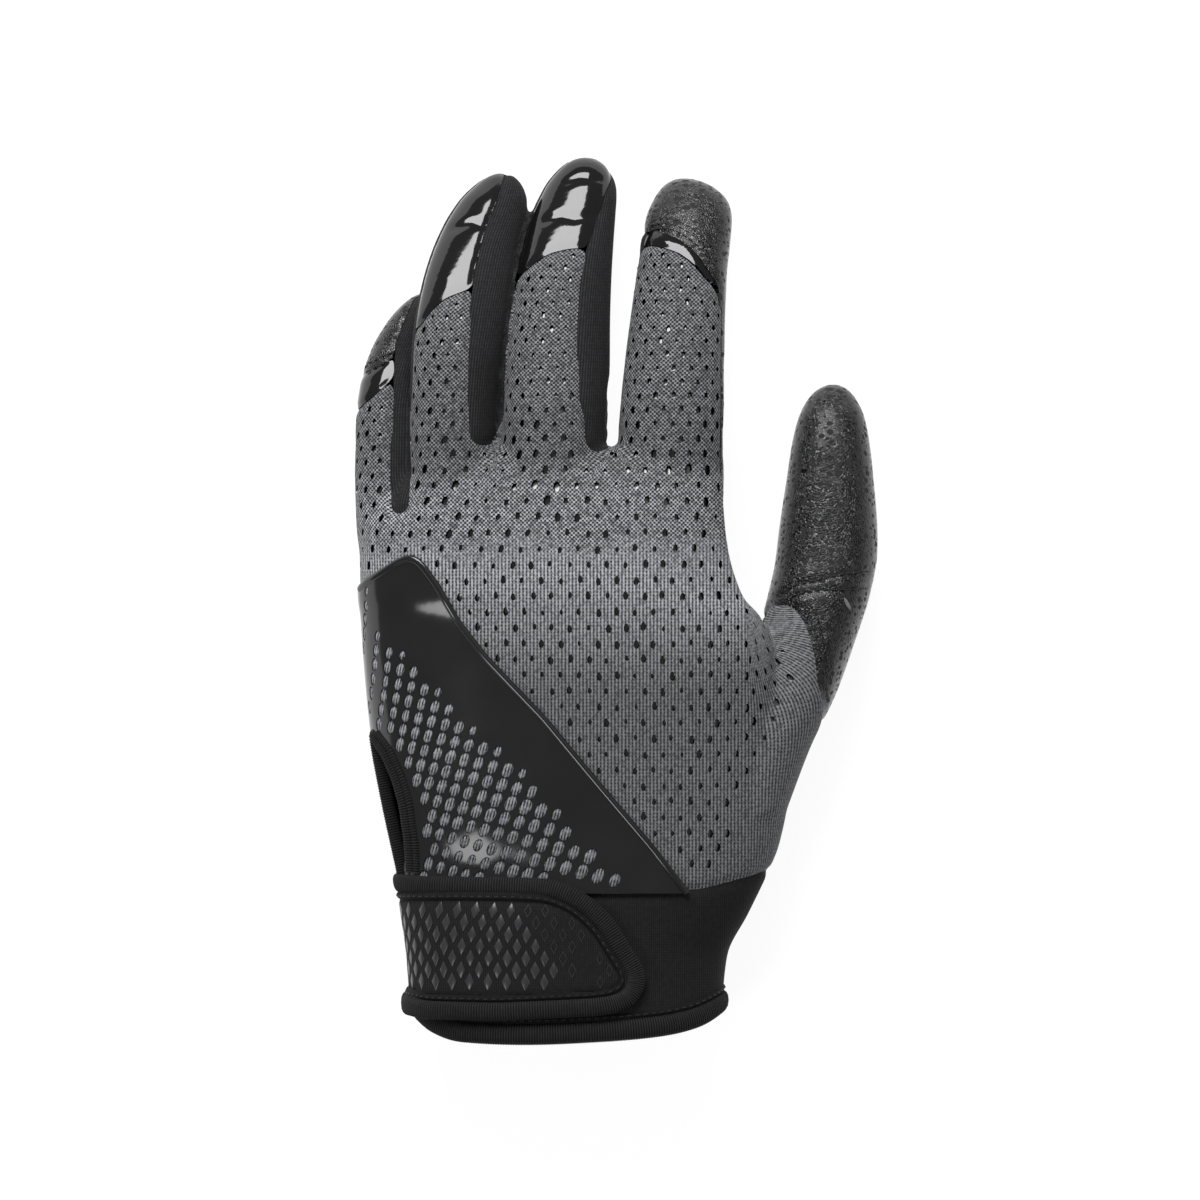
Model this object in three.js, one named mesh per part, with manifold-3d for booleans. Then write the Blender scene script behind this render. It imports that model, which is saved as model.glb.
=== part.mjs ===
// Softball batting glove for the left hand, lying palm down and filled out.
// Millimetres, +Z up, fingers along +Y, thumb towards +X, origin on the floor under the middle.
import * as THREE from 'three';
import { mergeVertices } from 'three/addons/utils/BufferGeometryUtils.js';
import Module from 'manifold-3d';

const wasm = await Module();
wasm.setup();

// Driving dimensions
const LEATHER = 1.5;          // wall of the knit and leather panels
const CUFF_EXTRA = 0.7;       // the neoprene cuff is this much thicker than the panels
const GAP = 0.3;              // between neighbouring pieces
const FILM = 1.0;             // thickness of the pierced side overlay
const STRAP = 1.6;            // thickness of the wrist strap
const BINDING = 2.0;          // how far the strap and vent bindings stand off the cuff
const HEM = 1.3;              // hem binding, outside and inside the cuff edge
const FULLNESS = 2.3;         // superellipse exponent of a finger's section
const HAND_FULLNESS = 2.5;    // the hand's section is a little squarer
const FINGER_SIDES = 12;
const LINING_SIDES = 8;
const HAND_SIDES = 22;
const HAND_LINING_SIDES = 14;
const FACETING = 0.06;        // faces closer than this to one plane are merged
const REST_SAG = 2.5;         // how far the hand's section would pass below its flat rest
const ABOVE = 70;             // heights past every piece, for cutting prisms
const BELOW = -8;
const REACH = 40;             // radius past every finger, for cutting wedges
const WEDGE_STEPS = 4;
const OVERRUN = 3;            // a wedge runs this far past its fingertip
const SAME_POINT = 1e-5;      // corners closer than this are one
const FAR_SIDE = 90;          // past the hand on either side
const RESTING = 3;            // the hand is flattened where its rest is lower than this
const TIP = 0.02;             // radius that closes a fingertip
const MITRE = 0.4;            // limits how far a sharp corner moves when an outline is grown
const HEM_HEIGHT = 4.3;
const WRIST_MIDDLE = 20;      // height where the strap turns from the back to the palm side
const TURN_OVERLAP = 1;       // its two parts share this height
const VENT_FLOOR = 8;         // the slit vent is cut no lower than this

// A table is a list of named columns and one row for each section.
function table(columns, rows) {
  return rows.map((row) => Object.fromEntries(columns.map((name, i) => [name, row[i]])));
}

// Fingers: centre x and z, width and height of the section at each y.
// seam is the angle, from the thumb side upwards, where the back panel meets the gusset.
const SECTION = ['y', 'x', 'z', 'wide', 'high', 'seam'];
const FINGERS = {
  index: {
    gusset: [160, 214],       // gusset on the middle-finger side, top and bottom angle
    palm: [214, null],        // the leather reaches up to the seam on the thumb side
    rows: table(SECTION, [
      [9.0, 13.0, 25.5, 24.0, 23.0, 33],
      [30.6, 13.0, 27.3, 25.4, 24.0, 33],
      [42.0, 13.2, 27.0, 25.4, 23.0, 33],
      [57.0, 13.9, 24.6, 24.2, 21.0, 33],
      [68.0, 14.7, 21.4, 23.0, 19.8, 30],
      [78.0, 15.6, 17.6, 22.0, 18.8, 28],
      [86.0, 16.7, 13.8, 21.6, 17.8, 26],
      [91.5, 17.5, 10.8, 20.8, 17.0, 20],
      [95.6, 17.8, 8.8, 18.0, 15.6, 15],
      [99.4, 17.1, 7.4, 11.0, 10.6, 7],
      [101.1, 16.4, 7.0, 0, 0, 0],
    ]),
  },
  middle: {
    gusset: [170, 216],
    palm: [216, 328],
    rows: table(SECTION, [
      [9.0, -15.2, 26.0, 24.0, 23.6, 57],
      [30.6, -15.0, 27.8, 25.2, 24.6, 57],
      [42.6, -14.7, 27.6, 25.6, 23.6, 57],
      [55.0, -14.3, 25.6, 25.4, 21.8, 60],
      [66.0, -13.7, 22.8, 24.4, 20.4, 64],
      [76.0, -12.8, 19.4, 23.2, 19.4, 64],
      [85.0, -11.6, 15.4, 21.8, 18.4, 61],
      [92.0, -10.4, 11.8, 20.4, 17.4, 56],
      [98.6, -8.8, 8.8, 17.6, 15.6, 44],
      [103.6, -7.9, 7.3, 11.6, 11.2, 24],
      [106.4, -7.7, 7.0, 0, 0, 10],
    ]),
  },
  ring: {
    gusset: [168, 214],
    palm: [214, 330],
    rows: table(SECTION, [
      [9.0, -39.6, 22.6, 20.2, 21.6, 69],
      [28.0, -39.2, 24.8, 20.4, 22.2, 69],
      [42.0, -39.1, 25.8, 20.8, 21.4, 69],
      [55.0, -38.9, 25.6, 20.8, 20.2, 69],
      [66.0, -38.0, 23.2, 21.0, 19.2, 70],
      [75.0, -36.3, 19.6, 21.0, 18.4, 76],
      [83.0, -34.1, 15.4, 20.8, 17.6, 80],
      [90.0, -31.8, 11.4, 19.4, 16.8, 84],
      [95.2, -29.9, 8.8, 16.8, 15.4, 88],
      [100.4, -28.3, 7.0, 9.6, 9.8, 92],
      [102.6, -27.9, 6.8, 0, 0, 95],
    ]),
  },
  pinky: {
    gusset: null,             // no gusset on the outer side
    palm: [196, 330],
    rows: table(SECTION, [
      [0.0, -52.4, 18.6, 15.2, 18.0, 72],
      [18.0, -54.4, 18.4, 16.2, 18.4, 72],
      [32.0, -54.8, 16.8, 16.2, 17.4, 72],
      [43.0, -54.7, 14.2, 16.0, 16.6, 74],
      [52.0, -53.7, 11.4, 15.8, 16.0, 78],
      [60.0, -51.3, 8.6, 15.4, 15.4, 82],
      [66.5, -48.4, 7.7, 13.6, 14.4, 84],
      [71.8, -45.8, 7.0, 8.8, 9.8, 88],
      [74.0, -44.7, 6.8, 0, 0, 90],
    ]),
  },
};
const THUMB = table(SECTION, [
  [-52.0, 31.0, 19.5, 19.0, 30.0, 0],
  [-36.0, 35.6, 19.4, 22.0, 31.0, 0],
  [-22.2, 41.2, 18.2, 24.0, 29.6, 0],
  [-10.2, 45.4, 16.4, 24.2, 27.0, 0],
  [0.6, 48.7, 14.8, 24.6, 25.0, 0],
  [10.2, 50.6, 13.2, 24.4, 23.2, 0],
  [29.4, 51.5, 10.4, 20.8, 19.8, 0],
  [37.6, 51.7, 9.2, 18.6, 18.0, 0],
  [43.6, 51.9, 8.2, 15.8, 15.6, 0],
  [49.2, 52.1, 7.0, 9.4, 9.4, 0],
  [51.4, 52.3, 6.8, 0, 0, 0],
]);

// Hand and wrist: little-finger edge, thumb edge, flat rest, top, and roll towards the little finger.
const HAND = table(['y', 'left', 'right', 'rest', 'top', 'roll'], [
  [-112.0, -47.6, 25.4, 2.1, 40.6, 0],
  [-96.0, -47.8, 25.6, 2.1, 39.8, 0],
  [-86.0, -48.4, 26.6, 2.1, 39.4, 0],
  [-76.0, -49.8, 31.6, 2.1, 39.0, 1],
  [-66.0, -51.4, 36.4, 2.1, 38.4, 2],
  [-59.0, -53.2, 39.2, 0.2, 38.2, 3],
  [-46.0, -56.2, 41.4, 0.0, 38.6, 4],
  [-34.0, -58.5, 40.8, 0.0, 39.4, 5],
  [-13.0, -60.6, 38.0, 3.0, 41.0, 6.5],
  [-4.5, -61.2, 34.6, 4.2, 41.4, 7],
  [0.0, -61.8, 30.6, 5.0, 41.8, 7],
  [16.0, -62.0, 26.4, 7.8, 42.2, 7],
  [22.0, -59.0, 25.9, 9.0, 41.8, 7],
  [29.5, -51.2, 25.5, 10.6, 40.0, 6],
  [36.0, -43.0, 24.4, 14.0, 35.0, 4],
]);

// Gussets between neighbouring fingers: x range of the web, and where the gusset starts
const GUSSETS = table(['node', 'near', 'far', 'web', 'start'], [
  ['fourchette_index_middle', 'middle', 'index', [-8.0, 2.0], 34.2],
  ['fourchette_middle_ring', 'ring', 'middle', [-34.0, -26.0], 34.2],
  ['fourchette_ring_pinky', 'pinky', 'ring', [-54.0, -49.4], 21.0],
]);
const WEB_END = 44;
const FRONT_START = 25;        // finger fronts reach back into the palm to here

// Height of the side seam between back and palm: little-finger edge, under the index finger, thumb edge
const SIDE_SEAM = table(['y', 'left', 'middle', 'right'], [
  [-70.0, 15.0, 16.0, 17.0],
  [-30.0, 14.0, 16.0, 17.5],
  [-4.0, 14.5, 20.0, 25.0],
  [10.0, 14.5, 22.0, 31.0],
  [37.0, 16.0, 22.0, 33.5],
]);

// Outlines seen from above, x and y of their corners. Those that reach past the glove cut it right across.
const PAST_TIPS = 112;
const tipOutline = (line) => [...line, [line[line.length - 1][0], PAST_TIPS], [line[0][0], PAST_TIPS]];
const INDEX_CAP = tipOutline([[-2, 88.2], [10.2, 88.0], [16.4, 85.5], [20.4, 81.0], [24.2, 75.2],
  [34, 66.0]]);
const INDEX_FILM = tipOutline([[-2, 83.9], [9.0, 84.6], [15.0, 82.6], [19.7, 78.4], [23.3, 74.2],
  [34, 60.0]]);
const PINKY_CAP = tipOutline([[-68, 50.4], [-60.6, 53.6], [-56.4, 56.0], [-52.0, 59.4],
  [-40, 67.0]]);
const PINKY_FILM = tipOutline([[-68, 41.0], [-61.9, 45.4], [-56.7, 49.9], [-52.0, 54.2],
  [-40, 62.0]]);
const MIDDLE_FILM = tipOutline([[-27.4, 74.0], [-23.6, 77.0], [-16.9, 82.2], [-11.0, 83.8],
  [-3, 83.0], [4, 80]]);
const RING_FILM = tipOutline([[-52, 57.6], [-47.8, 64.4], [-42.0, 71.2], [-34.7, 74.1],
  [-26, 74.0], [-21, 76]]);
const THUMB_PANEL = [[31.2, -2.4], [34.2, -0.4], [45.1, -0.2], [47.6, -6.8], [49.4, -16.0],
  [50.0, -26.0], [48.6, -33.0], [70, -33.0], [70, 58], [35.2, 58], [33.4, 4.0]];
const CUFF_SEAM = [[-66, -70.6], [4.3, -70.8], [20.3, -69.8], [29.5, -67.6], [46, -63.0]];
const HEM_LINE = [[-60, -97.0], [-48.6, -100.2], [-44.5, -103.4], [-38, -105.6], [-22, -106.2],
  [-4, -105.5], [10.3, -104.3], [18.8, -102.6], [24.6, -99.6], [28.0, -96.0], [40, -84]];
const OVERLAY = [[-70, -3.0], [-61.2, 2.4], [-55.7, 6.8], [-49.6, 11.0], [-46.4, 10.8],
  [-42.0, 3.0], [-37.2, -5.4], [-30.5, -14.1], [-17.0, -28.2], [-4.1, -43.8], [9.1, -59.4],
  [17.6, -69.9], [-70, -69.9]];
const OVERLAY_FIELD = [[-58.5, -3.0], [-55.6, -13.0], [-46.5, -19.6], [-36.6, -28.6],
  [-24.6, -39.4], [-10.2, -54.4], [1.6, -67.6], [-60, -67.6], [-63, -3.0]];
const STRAP_EDGE = [[-70, -66.4], [-52.2, -66.6], [-45.2, -67.3], [-16.2, -67.5], [-8.0, -70.6],
  [-1.0, -77.0], [5.3, -87.5], [6.2, -90.9], [3.6, -97.0], [-4.6, -99.4], [-27.8, -100.6],
  [-44.2, -100.4], [-52, -98.6], [-70, -98.6]];
const STRAP_FACE = [[-70, -70.9], [-51.1, -71.2], [-16.2, -72.0], [-10.6, -75.0], [-4.6, -81.0],
  [1.9, -89.8], [2.2, -92.6], [-4.6, -95.2], [-33.6, -96.6], [-52, -95.0], [-70, -95.0]];
const EDGE_TAIL = { upper: -66.4, lower: -98.6, end: -14.0 };   // the strap on the palm side
const FACE_TAIL = { upper: -70.9, lower: -95.0, end: -18.0 };
const VENT = [[-59.4, -34.6], [-56.2, -39.4], [-53.4, -44.8], [-52.0, -51.0], [-51.0, -57.5],
  [-50.4, -63.6], [-51.6, -63.6], [-53.6, -60.0], [-54.8, -54.0], [-56.4, -46.4], [-58.6, -39.0]];
const VENT_EDGE = [[-60.6, -30.4], [-57.0, -31.8], [-54.8, -33.8], [-51.8, -38.1], [-49.3, -43.0],
  [-48.1, -48.5], [-47.4, -55.0], [-47.2, -66.0], [-70, -66.0], [-70, -30.4]];

// Oval windows of the overlay: size, lean and pitch
const WINDOW = { wide: 2.1, tall: 4.0, lean: 10, corners: 6 };
const WINDOW_PITCH = { across: [4.7, -1.05], down: [2.6, -4.7], first: [-59.0, -7.5], rows: 20 };
const WINDOW_MARGIN = 1.8;    // between the windows and the vent

const radians = THREE.MathUtils.degToRad;
const mix = THREE.MathUtils.lerp;

// Solids from three.js geometry, and back
function solidOf(geometry) {
  geometry.deleteAttribute('normal');
  geometry.deleteAttribute('uv');
  const merged = mergeVertices(geometry, SAME_POINT);
  const vertProperties = new Float32Array(merged.attributes.position.array);
  const triVerts = new Uint32Array(merged.index.array);
  return new wasm.Manifold(new wasm.Mesh({ numProp: 3, vertProperties, triVerts }));
}

function geometryOf(solid) {
  const mesh = solid.getMesh();
  const geometry = new THREE.BufferGeometry();
  geometry.setAttribute('position', new THREE.BufferAttribute(mesh.vertProperties, mesh.numProp));
  geometry.setIndex(new THREE.BufferAttribute(mesh.triVerts, 1));
  geometry.computeVertexNormals();
  return geometry;
}

// Rings of equal length, in planes across Y, joined into a closed solid with fan caps
function loft(rings) {
  const count = rings[0].length;
  const positions = [];
  const index = [];
  const turn = THREE.ShapeUtils.area(rings[0].map((point) => new THREE.Vector2(point.x, point.z)));
  const facing = turn < 0 ? rings : [...rings].reverse();
  for (const ring of facing) {
    for (const point of ring) positions.push(point.x, point.y, point.z);
  }
  for (let r = 0; r + 1 < rings.length; r += 1) {
    for (let k = 0; k < count; k += 1) {
      const a = r * count + k;
      const b = r * count + ((k + 1) % count);
      index.push(a, b, b + count, a, b + count, a + count);
    }
  }
  const last = (rings.length - 1) * count;
  for (let k = 1; k + 1 < count; k += 1) {
    index.push(0, k + 1, k, last, last + k, last + k + 1);
  }
  const geometry = new THREE.BufferGeometry();
  geometry.setAttribute('position', new THREE.Float32BufferAttribute(positions, 3));
  geometry.setIndex(index);
  return solidOf(geometry);
}

// Points of a superellipse in the plane of constant y
function oval(y, x, z, halfWide, halfHigh, power, sides, roll = 0, rest = -Infinity) {
  const ring = [];
  const tilt = radians(roll);
  for (let k = 0; k < sides; k += 1) {
    const angle = (2 * Math.PI * k) / sides;
    const across = halfWide * Math.sign(Math.cos(angle)) * Math.abs(Math.cos(angle)) ** (2 / power);
    const up = halfHigh * Math.sign(Math.sin(angle)) * Math.abs(Math.sin(angle)) ** (2 / power);
    const height = z + up * Math.cos(tilt) + across * Math.sin(tilt);
    ring.push(new THREE.Vector3(x + across * Math.cos(tilt), y, Math.max(height, rest)));
  }
  return ring;
}

// A finger or thumb, with its surface moved out by offset, or in where that is negative
function finger(rows, offset = 0, sides = FINGER_SIDES) {
  const widest = Math.max(...rows.map((row) => row.wide));
  const rings = rows.map((row, i) => {
    const tipped = 1 - row.wide / widest;
    const y = row.y + (i === 0 ? -offset : offset * tipped ** 2);
    const halfWide = Math.max(row.wide / 2 + offset, TIP);
    const halfHigh = Math.max(row.high / 2 + offset, TIP);
    return oval(y, row.x, row.z, halfWide, halfHigh, FULLNESS, sides);
  });
  return loft(rings);
}

// The hand and wrist as one body, flat where it rests
function hand(offset = 0, sides = HAND_SIDES) {
  const rings = HAND.map((row, i) => {
    const sag = row.rest < RESTING ? REST_SAG : 0;
    const halfWide = (row.right - row.left) / 2 + offset;
    const halfHigh = (row.top - row.rest + sag) / 2 + offset;
    const x = (row.right + row.left) / 2;
    const z = (row.top + row.rest - sag) / 2;
    const y = row.y + (i === HAND.length - 1 ? offset : 0);
    return oval(y, x, z, halfWide, halfHigh, HAND_FULLNESS, sides, row.roll, row.rest - offset);
  });
  return loft(rings);
}

// A wedge round a finger's middle line, between two angles, moved out by grow
function wedge(rows, from, to, grow, start) {
  const kept = rows.filter((row) => row.y > start);
  const first = { ...rows[0], ...kept[0], y: start - grow };
  const beyond = { ...kept[kept.length - 1], y: kept[kept.length - 1].y + OVERRUN };
  const rings = [first, ...kept, beyond].map((row) => {
    const low = radians(from(row));
    const high = radians(to(row));
    const half = (high - low) / 2;
    const shift = grow / Math.sin(half);
    const x = row.x - Math.cos(low + half) * shift;
    const z = row.z - Math.sin(low + half) * shift;
    const ring = [new THREE.Vector3(x, row.y, z)];
    for (let k = 0; k <= WEDGE_STEPS; k += 1) {
      const angle = mix(low, high, k / WEDGE_STEPS);
      ring.push(new THREE.Vector3(x + REACH * Math.cos(angle), row.y, z + REACH * Math.sin(angle)));
    }
    return ring;
  });
  return loft(rings);
}

// An outline moved out by grow, corner by corner
function outset(points, grow) {
  const area = THREE.ShapeUtils.area(points.map(([x, y]) => new THREE.Vector2(x, y)));
  const turn = Math.sign(area);
  return points.map((point, i) => {
    const before = points[(i + points.length - 1) % points.length];
    const after = points[(i + 1) % points.length];
    const a = new THREE.Vector2(point[0] - before[0], point[1] - before[1]).normalize();
    const b = new THREE.Vector2(after[0] - point[0], after[1] - point[1]).normalize();
    const normal = new THREE.Vector2(a.y + b.y, -a.x - b.x).normalize();
    const stretch = grow / Math.max(normal.x * a.y - normal.y * a.x, MITRE);
    return [point[0] + turn * normal.x * stretch, point[1] + turn * normal.y * stretch];
  });
}

// A plan outline cut straight down from high to low
function prism(points, grow = 0, low = BELOW, high = ABOVE) {
  const shape = new THREE.Shape(outset(points, grow).map(([x, y]) => new THREE.Vector2(x, y)));
  const geometry = new THREE.ExtrudeGeometry(shape, { depth: high - low, bevelEnabled: false });
  geometry.translate(0, 0, low);
  return solidOf(geometry);
}

const unite = (solids) => solids.reduce((sum, solid) => sum.add(solid));
// A cut can leave slivers of a few cubic millimetres beside a panel: the panel is the largest body
const largest = (solid) => solid.decompose().sort((a, b) => b.volume() - a.volume())[0];
const names = Object.keys(FINGERS);

// The whole outer form and its hollow
const outerOf = (offset) => unite([hand(offset), finger(THUMB, offset),
  ...names.map((name) => finger(FINGERS[name].rows, offset))]);
const hollowOf = (wall) => unite([hand(-wall, HAND_LINING_SIDES), finger(THUMB, -wall, LINING_SIDES),
  ...names.map((name) => finger(FINGERS[name].rows, -wall, LINING_SIDES))]);
const outer = outerOf(0);
const outerGrown = outerOf(GAP);
const bodyOf = (grow) => (grow > 0 ? outerGrown : outer);

// Everything below the side seam of the hand
function belowSeam(grow) {
  const [littleSide, indexSide, thumbSide] = [-62, 18, 28];
  return loft(SIDE_SEAM.map((row, i) => {
    const y = row.y + (i === SIDE_SEAM.length - 1 ? grow : 0);
    const corners = [[-FAR_SIDE, BELOW], [FAR_SIDE, BELOW], [FAR_SIDE, row.right + grow],
      [thumbSide, row.right + grow], [indexSide, row.middle + grow], [littleSide, row.left + grow],
      [-FAR_SIDE, row.left + grow]];
    return corners.map(([x, z]) => new THREE.Vector3(x, y, z));
  }));
}

// Where the palm leather lies
function palmSpace(grow) {
  const fronts = names.map((name) => {
    const { rows, palm } = FINGERS[name];
    const to = (row) => (palm[1] === null ? 360 + row.seam : palm[1]);
    return finger(rows, grow).intersect(wedge(rows, () => palm[0], to, grow, FRONT_START));
  });
  const caps = [
    finger(FINGERS.index.rows, grow).intersect(prism(INDEX_CAP, grow)),
    finger(FINGERS.pinky.rows, grow).intersect(prism(PINKY_CAP, grow)),
  ];
  return unite([...fronts, ...caps, bodyOf(grow).intersect(belowSeam(grow))]);
}

// Where a gusset lies: thumb side of one finger, little-finger side of the next, and the web between
function gussetSpace({ near: nearName, far: farName, web, start }, grow) {
  const near = FINGERS[nearName];
  const far = FINGERS[farName];
  const nearSide = finger(near.rows, grow)
    .intersect(wedge(near.rows, () => near.palm[1] - 360, (row) => row.seam, grow, start));
  const farSide = finger(far.rows, grow)
    .intersect(wedge(far.rows, () => far.gusset[0], () => far.gusset[1], grow, start));
  const [left, right] = web;
  const block = [[left, start], [right, start], [right, WEB_END], [left, WEB_END]];
  const floor = hand(grow).intersect(prism(block, grow));
  return unite([nearSide, farSide, floor]);
}

const FILMS = [
  ['fingertip_film_middle', 'middle', MIDDLE_FILM],
  ['fingertip_film_ring', 'ring', RING_FILM],
  ['film_strip_index', 'index', INDEX_FILM],
  ['film_strip_pinky', 'pinky', PINKY_FILM],
];
const filmSpace = (name, outline, grow) => finger(FINGERS[name].rows, grow).intersect(prism(outline, grow));
const thumbSpace = (grow) => bodyOf(grow).intersect(prism(THUMB_PANEL, grow));

// Everything between two lines across the glove, each moved along Y
function between(upper, lower, shiftUpper, shiftLower) {
  const top = upper.map(([x, y]) => [x, y + shiftUpper]);
  const bottom = lower.map(([x, y]) => [x, y + shiftLower]).reverse();
  return prism([...top, ...bottom]);
}
const beyondCuffSeam = (grow) => between(CUFF_SEAM, HEM_LINE, grow, -FAR_SIDE);
const withinHem = (shift) => between([[-FAR_SIDE, PAST_TIPS], [FAR_SIDE, PAST_TIPS]], HEM_LINE, 0, shift);

// Bands that lie on the hand and cuff, from one offset to another
const band = (from, to) => hand(to).subtract(hand(from));

const hollow = hollowOf(LEATHER);
const cuffHollow = hand(-LEATHER - CUFF_EXTRA, HAND_LINING_SIDES);
const palmGrown = palmSpace(GAP);
const thumbGrown = thumbSpace(GAP);
const gussetsGrown = unite(GUSSETS.map((row) => gussetSpace(row, GAP)));
const cuffGrown = beyondCuffSeam(GAP);

const pieces = {};
pieces.palm_leather_panel = palmSpace(0).subtract(hollow).subtract(thumbGrown).subtract(cuffGrown);
pieces.thumb_leather = thumbSpace(0).subtract(hollow);
for (const row of GUSSETS) {
  pieces[row.node] = gussetSpace(row, 0).subtract(hollow).subtract(palmGrown);
}
let back = outer.subtract(hollow).subtract(palmGrown).subtract(thumbGrown);
back = back.subtract(gussetsGrown).subtract(cuffGrown);
for (const [node, name, outline] of FILMS) {
  pieces[node] = filmSpace(name, outline, 0).subtract(hollow).subtract(palmGrown).subtract(gussetsGrown);
  back = back.subtract(filmSpace(name, outline, GAP));
}
pieces.back_mesh_panel = back.subtract(prism(VENT, 0, VENT_FLOOR));

// Wrist
pieces.wrist_cuff = hand().intersect(beyondCuffSeam(0)).subtract(cuffHollow).intersect(withinHem(HEM));
const cuffRoom = hand(GAP).subtract(hand(-LEATHER - CUFF_EXTRA - GAP, HAND_LINING_SIDES))
  .intersect(withinHem(HEM - GAP));
const hemZone = between(HEM_LINE, HEM_LINE, HEM_HEIGHT, 0);

// Strap, over the back and round the little-finger edge to the palm side
function strapZone(outline, { upper, lower, end }, grow) {
  const left = outline[0][0];
  const tail = [[left, upper], [end, upper], [end, lower], [left, lower]];
  return prism(outline, grow, WRIST_MIDDLE).add(prism(tail, grow, BELOW, WRIST_MIDDLE + TURN_OVERLAP));
}
const strapEdge = strapZone(STRAP_EDGE, EDGE_TAIL, 0);
const strapEdgeGrown = strapZone(STRAP_EDGE, EDGE_TAIL, GAP);
const strapFace = strapZone(STRAP_FACE, FACE_TAIL, 0);
const strapFaceGrown = strapZone(STRAP_FACE, FACE_TAIL, GAP);
pieces.wrist_strap = band(GAP, GAP + STRAP).intersect(strapFace);
pieces.strap_binding = band(GAP, BINDING).intersect(strapEdge).subtract(strapFaceGrown);
const hemHollow = hand(-LEATHER - CUFF_EXTRA - HEM, HAND_LINING_SIDES);
pieces.cuff_hem_binding = hand(HEM).subtract(hemHollow).intersect(hemZone).subtract(cuffRoom)
  .subtract(strapEdgeGrown);

// Vent and overlay, on the back above the side seam
const sideSeamGrown = belowSeam(GAP);
pieces.vent_binding = band(GAP, BINDING).intersect(prism(VENT_EDGE)).subtract(prism(VENT))
  .subtract(sideSeamGrown);
function windowShape(x, y) {
  const lean = -radians(WINDOW.lean);
  const points = [];
  for (let k = 0; k < WINDOW.corners; k += 1) {
    const angle = (2 * Math.PI * (k + 0.5)) / WINDOW.corners;
    const across = (WINDOW.wide / 2) * Math.cos(angle);
    const along = (WINDOW.tall / 2) * Math.sin(angle);
    points.push([x + across * Math.cos(lean) - along * Math.sin(lean),
      y + across * Math.sin(lean) + along * Math.cos(lean)]);
  }
  return points;
}
function inside([x, y], outline) {
  let within = false;
  outline.forEach(([x1, y1], i) => {
    const [x0, y0] = outline[(i + outline.length - 1) % outline.length];
    if ((y1 > y) !== (y0 > y) && x < ((x0 - x1) * (y - y1)) / (y0 - y1) + x1) within = !within;
  });
  return within;
}
function windows() {
  const { across, down, first, rows } = WINDOW_PITCH;
  const ventSide = outset(VENT_EDGE, WINDOW_MARGIN);
  const shapes = [];
  for (let i = -rows; i <= rows; i += 1) {
    for (let j = 0; j <= rows; j += 1) {
      const centre = [first[0] + i * across[0] + j * down[0], first[1] + i * across[1] + j * down[1]];
      if (inside(centre, OVERLAY_FIELD) && !inside(centre, ventSide)) shapes.push(windowShape(...centre));
    }
  }
  return unite(shapes.map((shape) => prism(shape, 0, VENT_FLOOR)));
}
pieces.side_overlay = band(GAP, GAP + FILM).intersect(prism(OVERLAY)).subtract(sideSeamGrown)
  .subtract(prism(VENT_EDGE, GAP)).subtract(strapEdgeGrown).subtract(windows());

// Colours and finishes
const LOOKS = {
  back_mesh_panel: [0x5f6063, 0.9],
  palm_leather_panel: [0x2f2f30, 0.55],
  thumb_leather: [0x303031, 0.55],
  fourchette_index_middle: [0x2e2e2f, 0.9],
  fourchette_middle_ring: [0x2e2e2f, 0.9],
  fourchette_ring_pinky: [0x2e2e2f, 0.9],
  fingertip_film_middle: [0x1c1c1d, 0.18],
  fingertip_film_ring: [0x1c1c1d, 0.18],
  film_strip_index: [0x1c1c1d, 0.18],
  film_strip_pinky: [0x1c1c1d, 0.18],
  side_overlay: [0x222223, 0.25],
  wrist_cuff: [0x212121, 0.85],
  cuff_hem_binding: [0x2c2c2d, 0.7],
  wrist_strap: [0x2a2a2a, 0.5],
  strap_binding: [0x2c2c2d, 0.7],
  vent_binding: [0x2c2c2d, 0.7],
};

const glove = new THREE.Group();
for (const [name, [color, roughness]] of Object.entries(LOOKS)) {
  const solid = largest(largest(pieces[name]).simplify(FACETING));
  const material = new THREE.MeshStandardMaterial({ color, roughness, metalness: 0 });
  const mesh = new THREE.Mesh(geometryOf(solid), material);
  mesh.name = name;
  glove.add(mesh);
}

export default glove;
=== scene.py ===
# %% [markdown]
# # A softball batting glove
# A left-hand glove lies palm down, filled out as if a hand were in it. Its back is a grey perforated knit,
# its palm and thumb are thin black leather, and its fingertips carry patent film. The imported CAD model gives
# the frame: every piece below is built in the same metres and replaces the CAD solid that it stands for.

# %% The frame
import math

import bpy
import numpy as np
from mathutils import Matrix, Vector
from mathutils.bvhtree import BVHTree
from mathutils.kdtree import KDTree


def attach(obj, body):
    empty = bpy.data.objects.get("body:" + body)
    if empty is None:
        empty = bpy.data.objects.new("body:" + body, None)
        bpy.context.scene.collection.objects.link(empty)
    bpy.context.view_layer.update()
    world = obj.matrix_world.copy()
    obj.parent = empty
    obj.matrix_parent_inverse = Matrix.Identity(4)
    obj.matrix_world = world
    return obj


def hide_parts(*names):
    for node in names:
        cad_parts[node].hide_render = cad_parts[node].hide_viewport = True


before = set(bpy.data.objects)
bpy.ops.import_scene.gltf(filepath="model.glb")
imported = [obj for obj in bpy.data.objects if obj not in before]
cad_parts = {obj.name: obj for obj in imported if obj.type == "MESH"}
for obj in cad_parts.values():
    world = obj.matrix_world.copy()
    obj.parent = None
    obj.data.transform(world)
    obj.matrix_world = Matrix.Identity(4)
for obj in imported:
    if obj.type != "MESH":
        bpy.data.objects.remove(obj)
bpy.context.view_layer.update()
MM = 0.001
scene = bpy.context.scene

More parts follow.
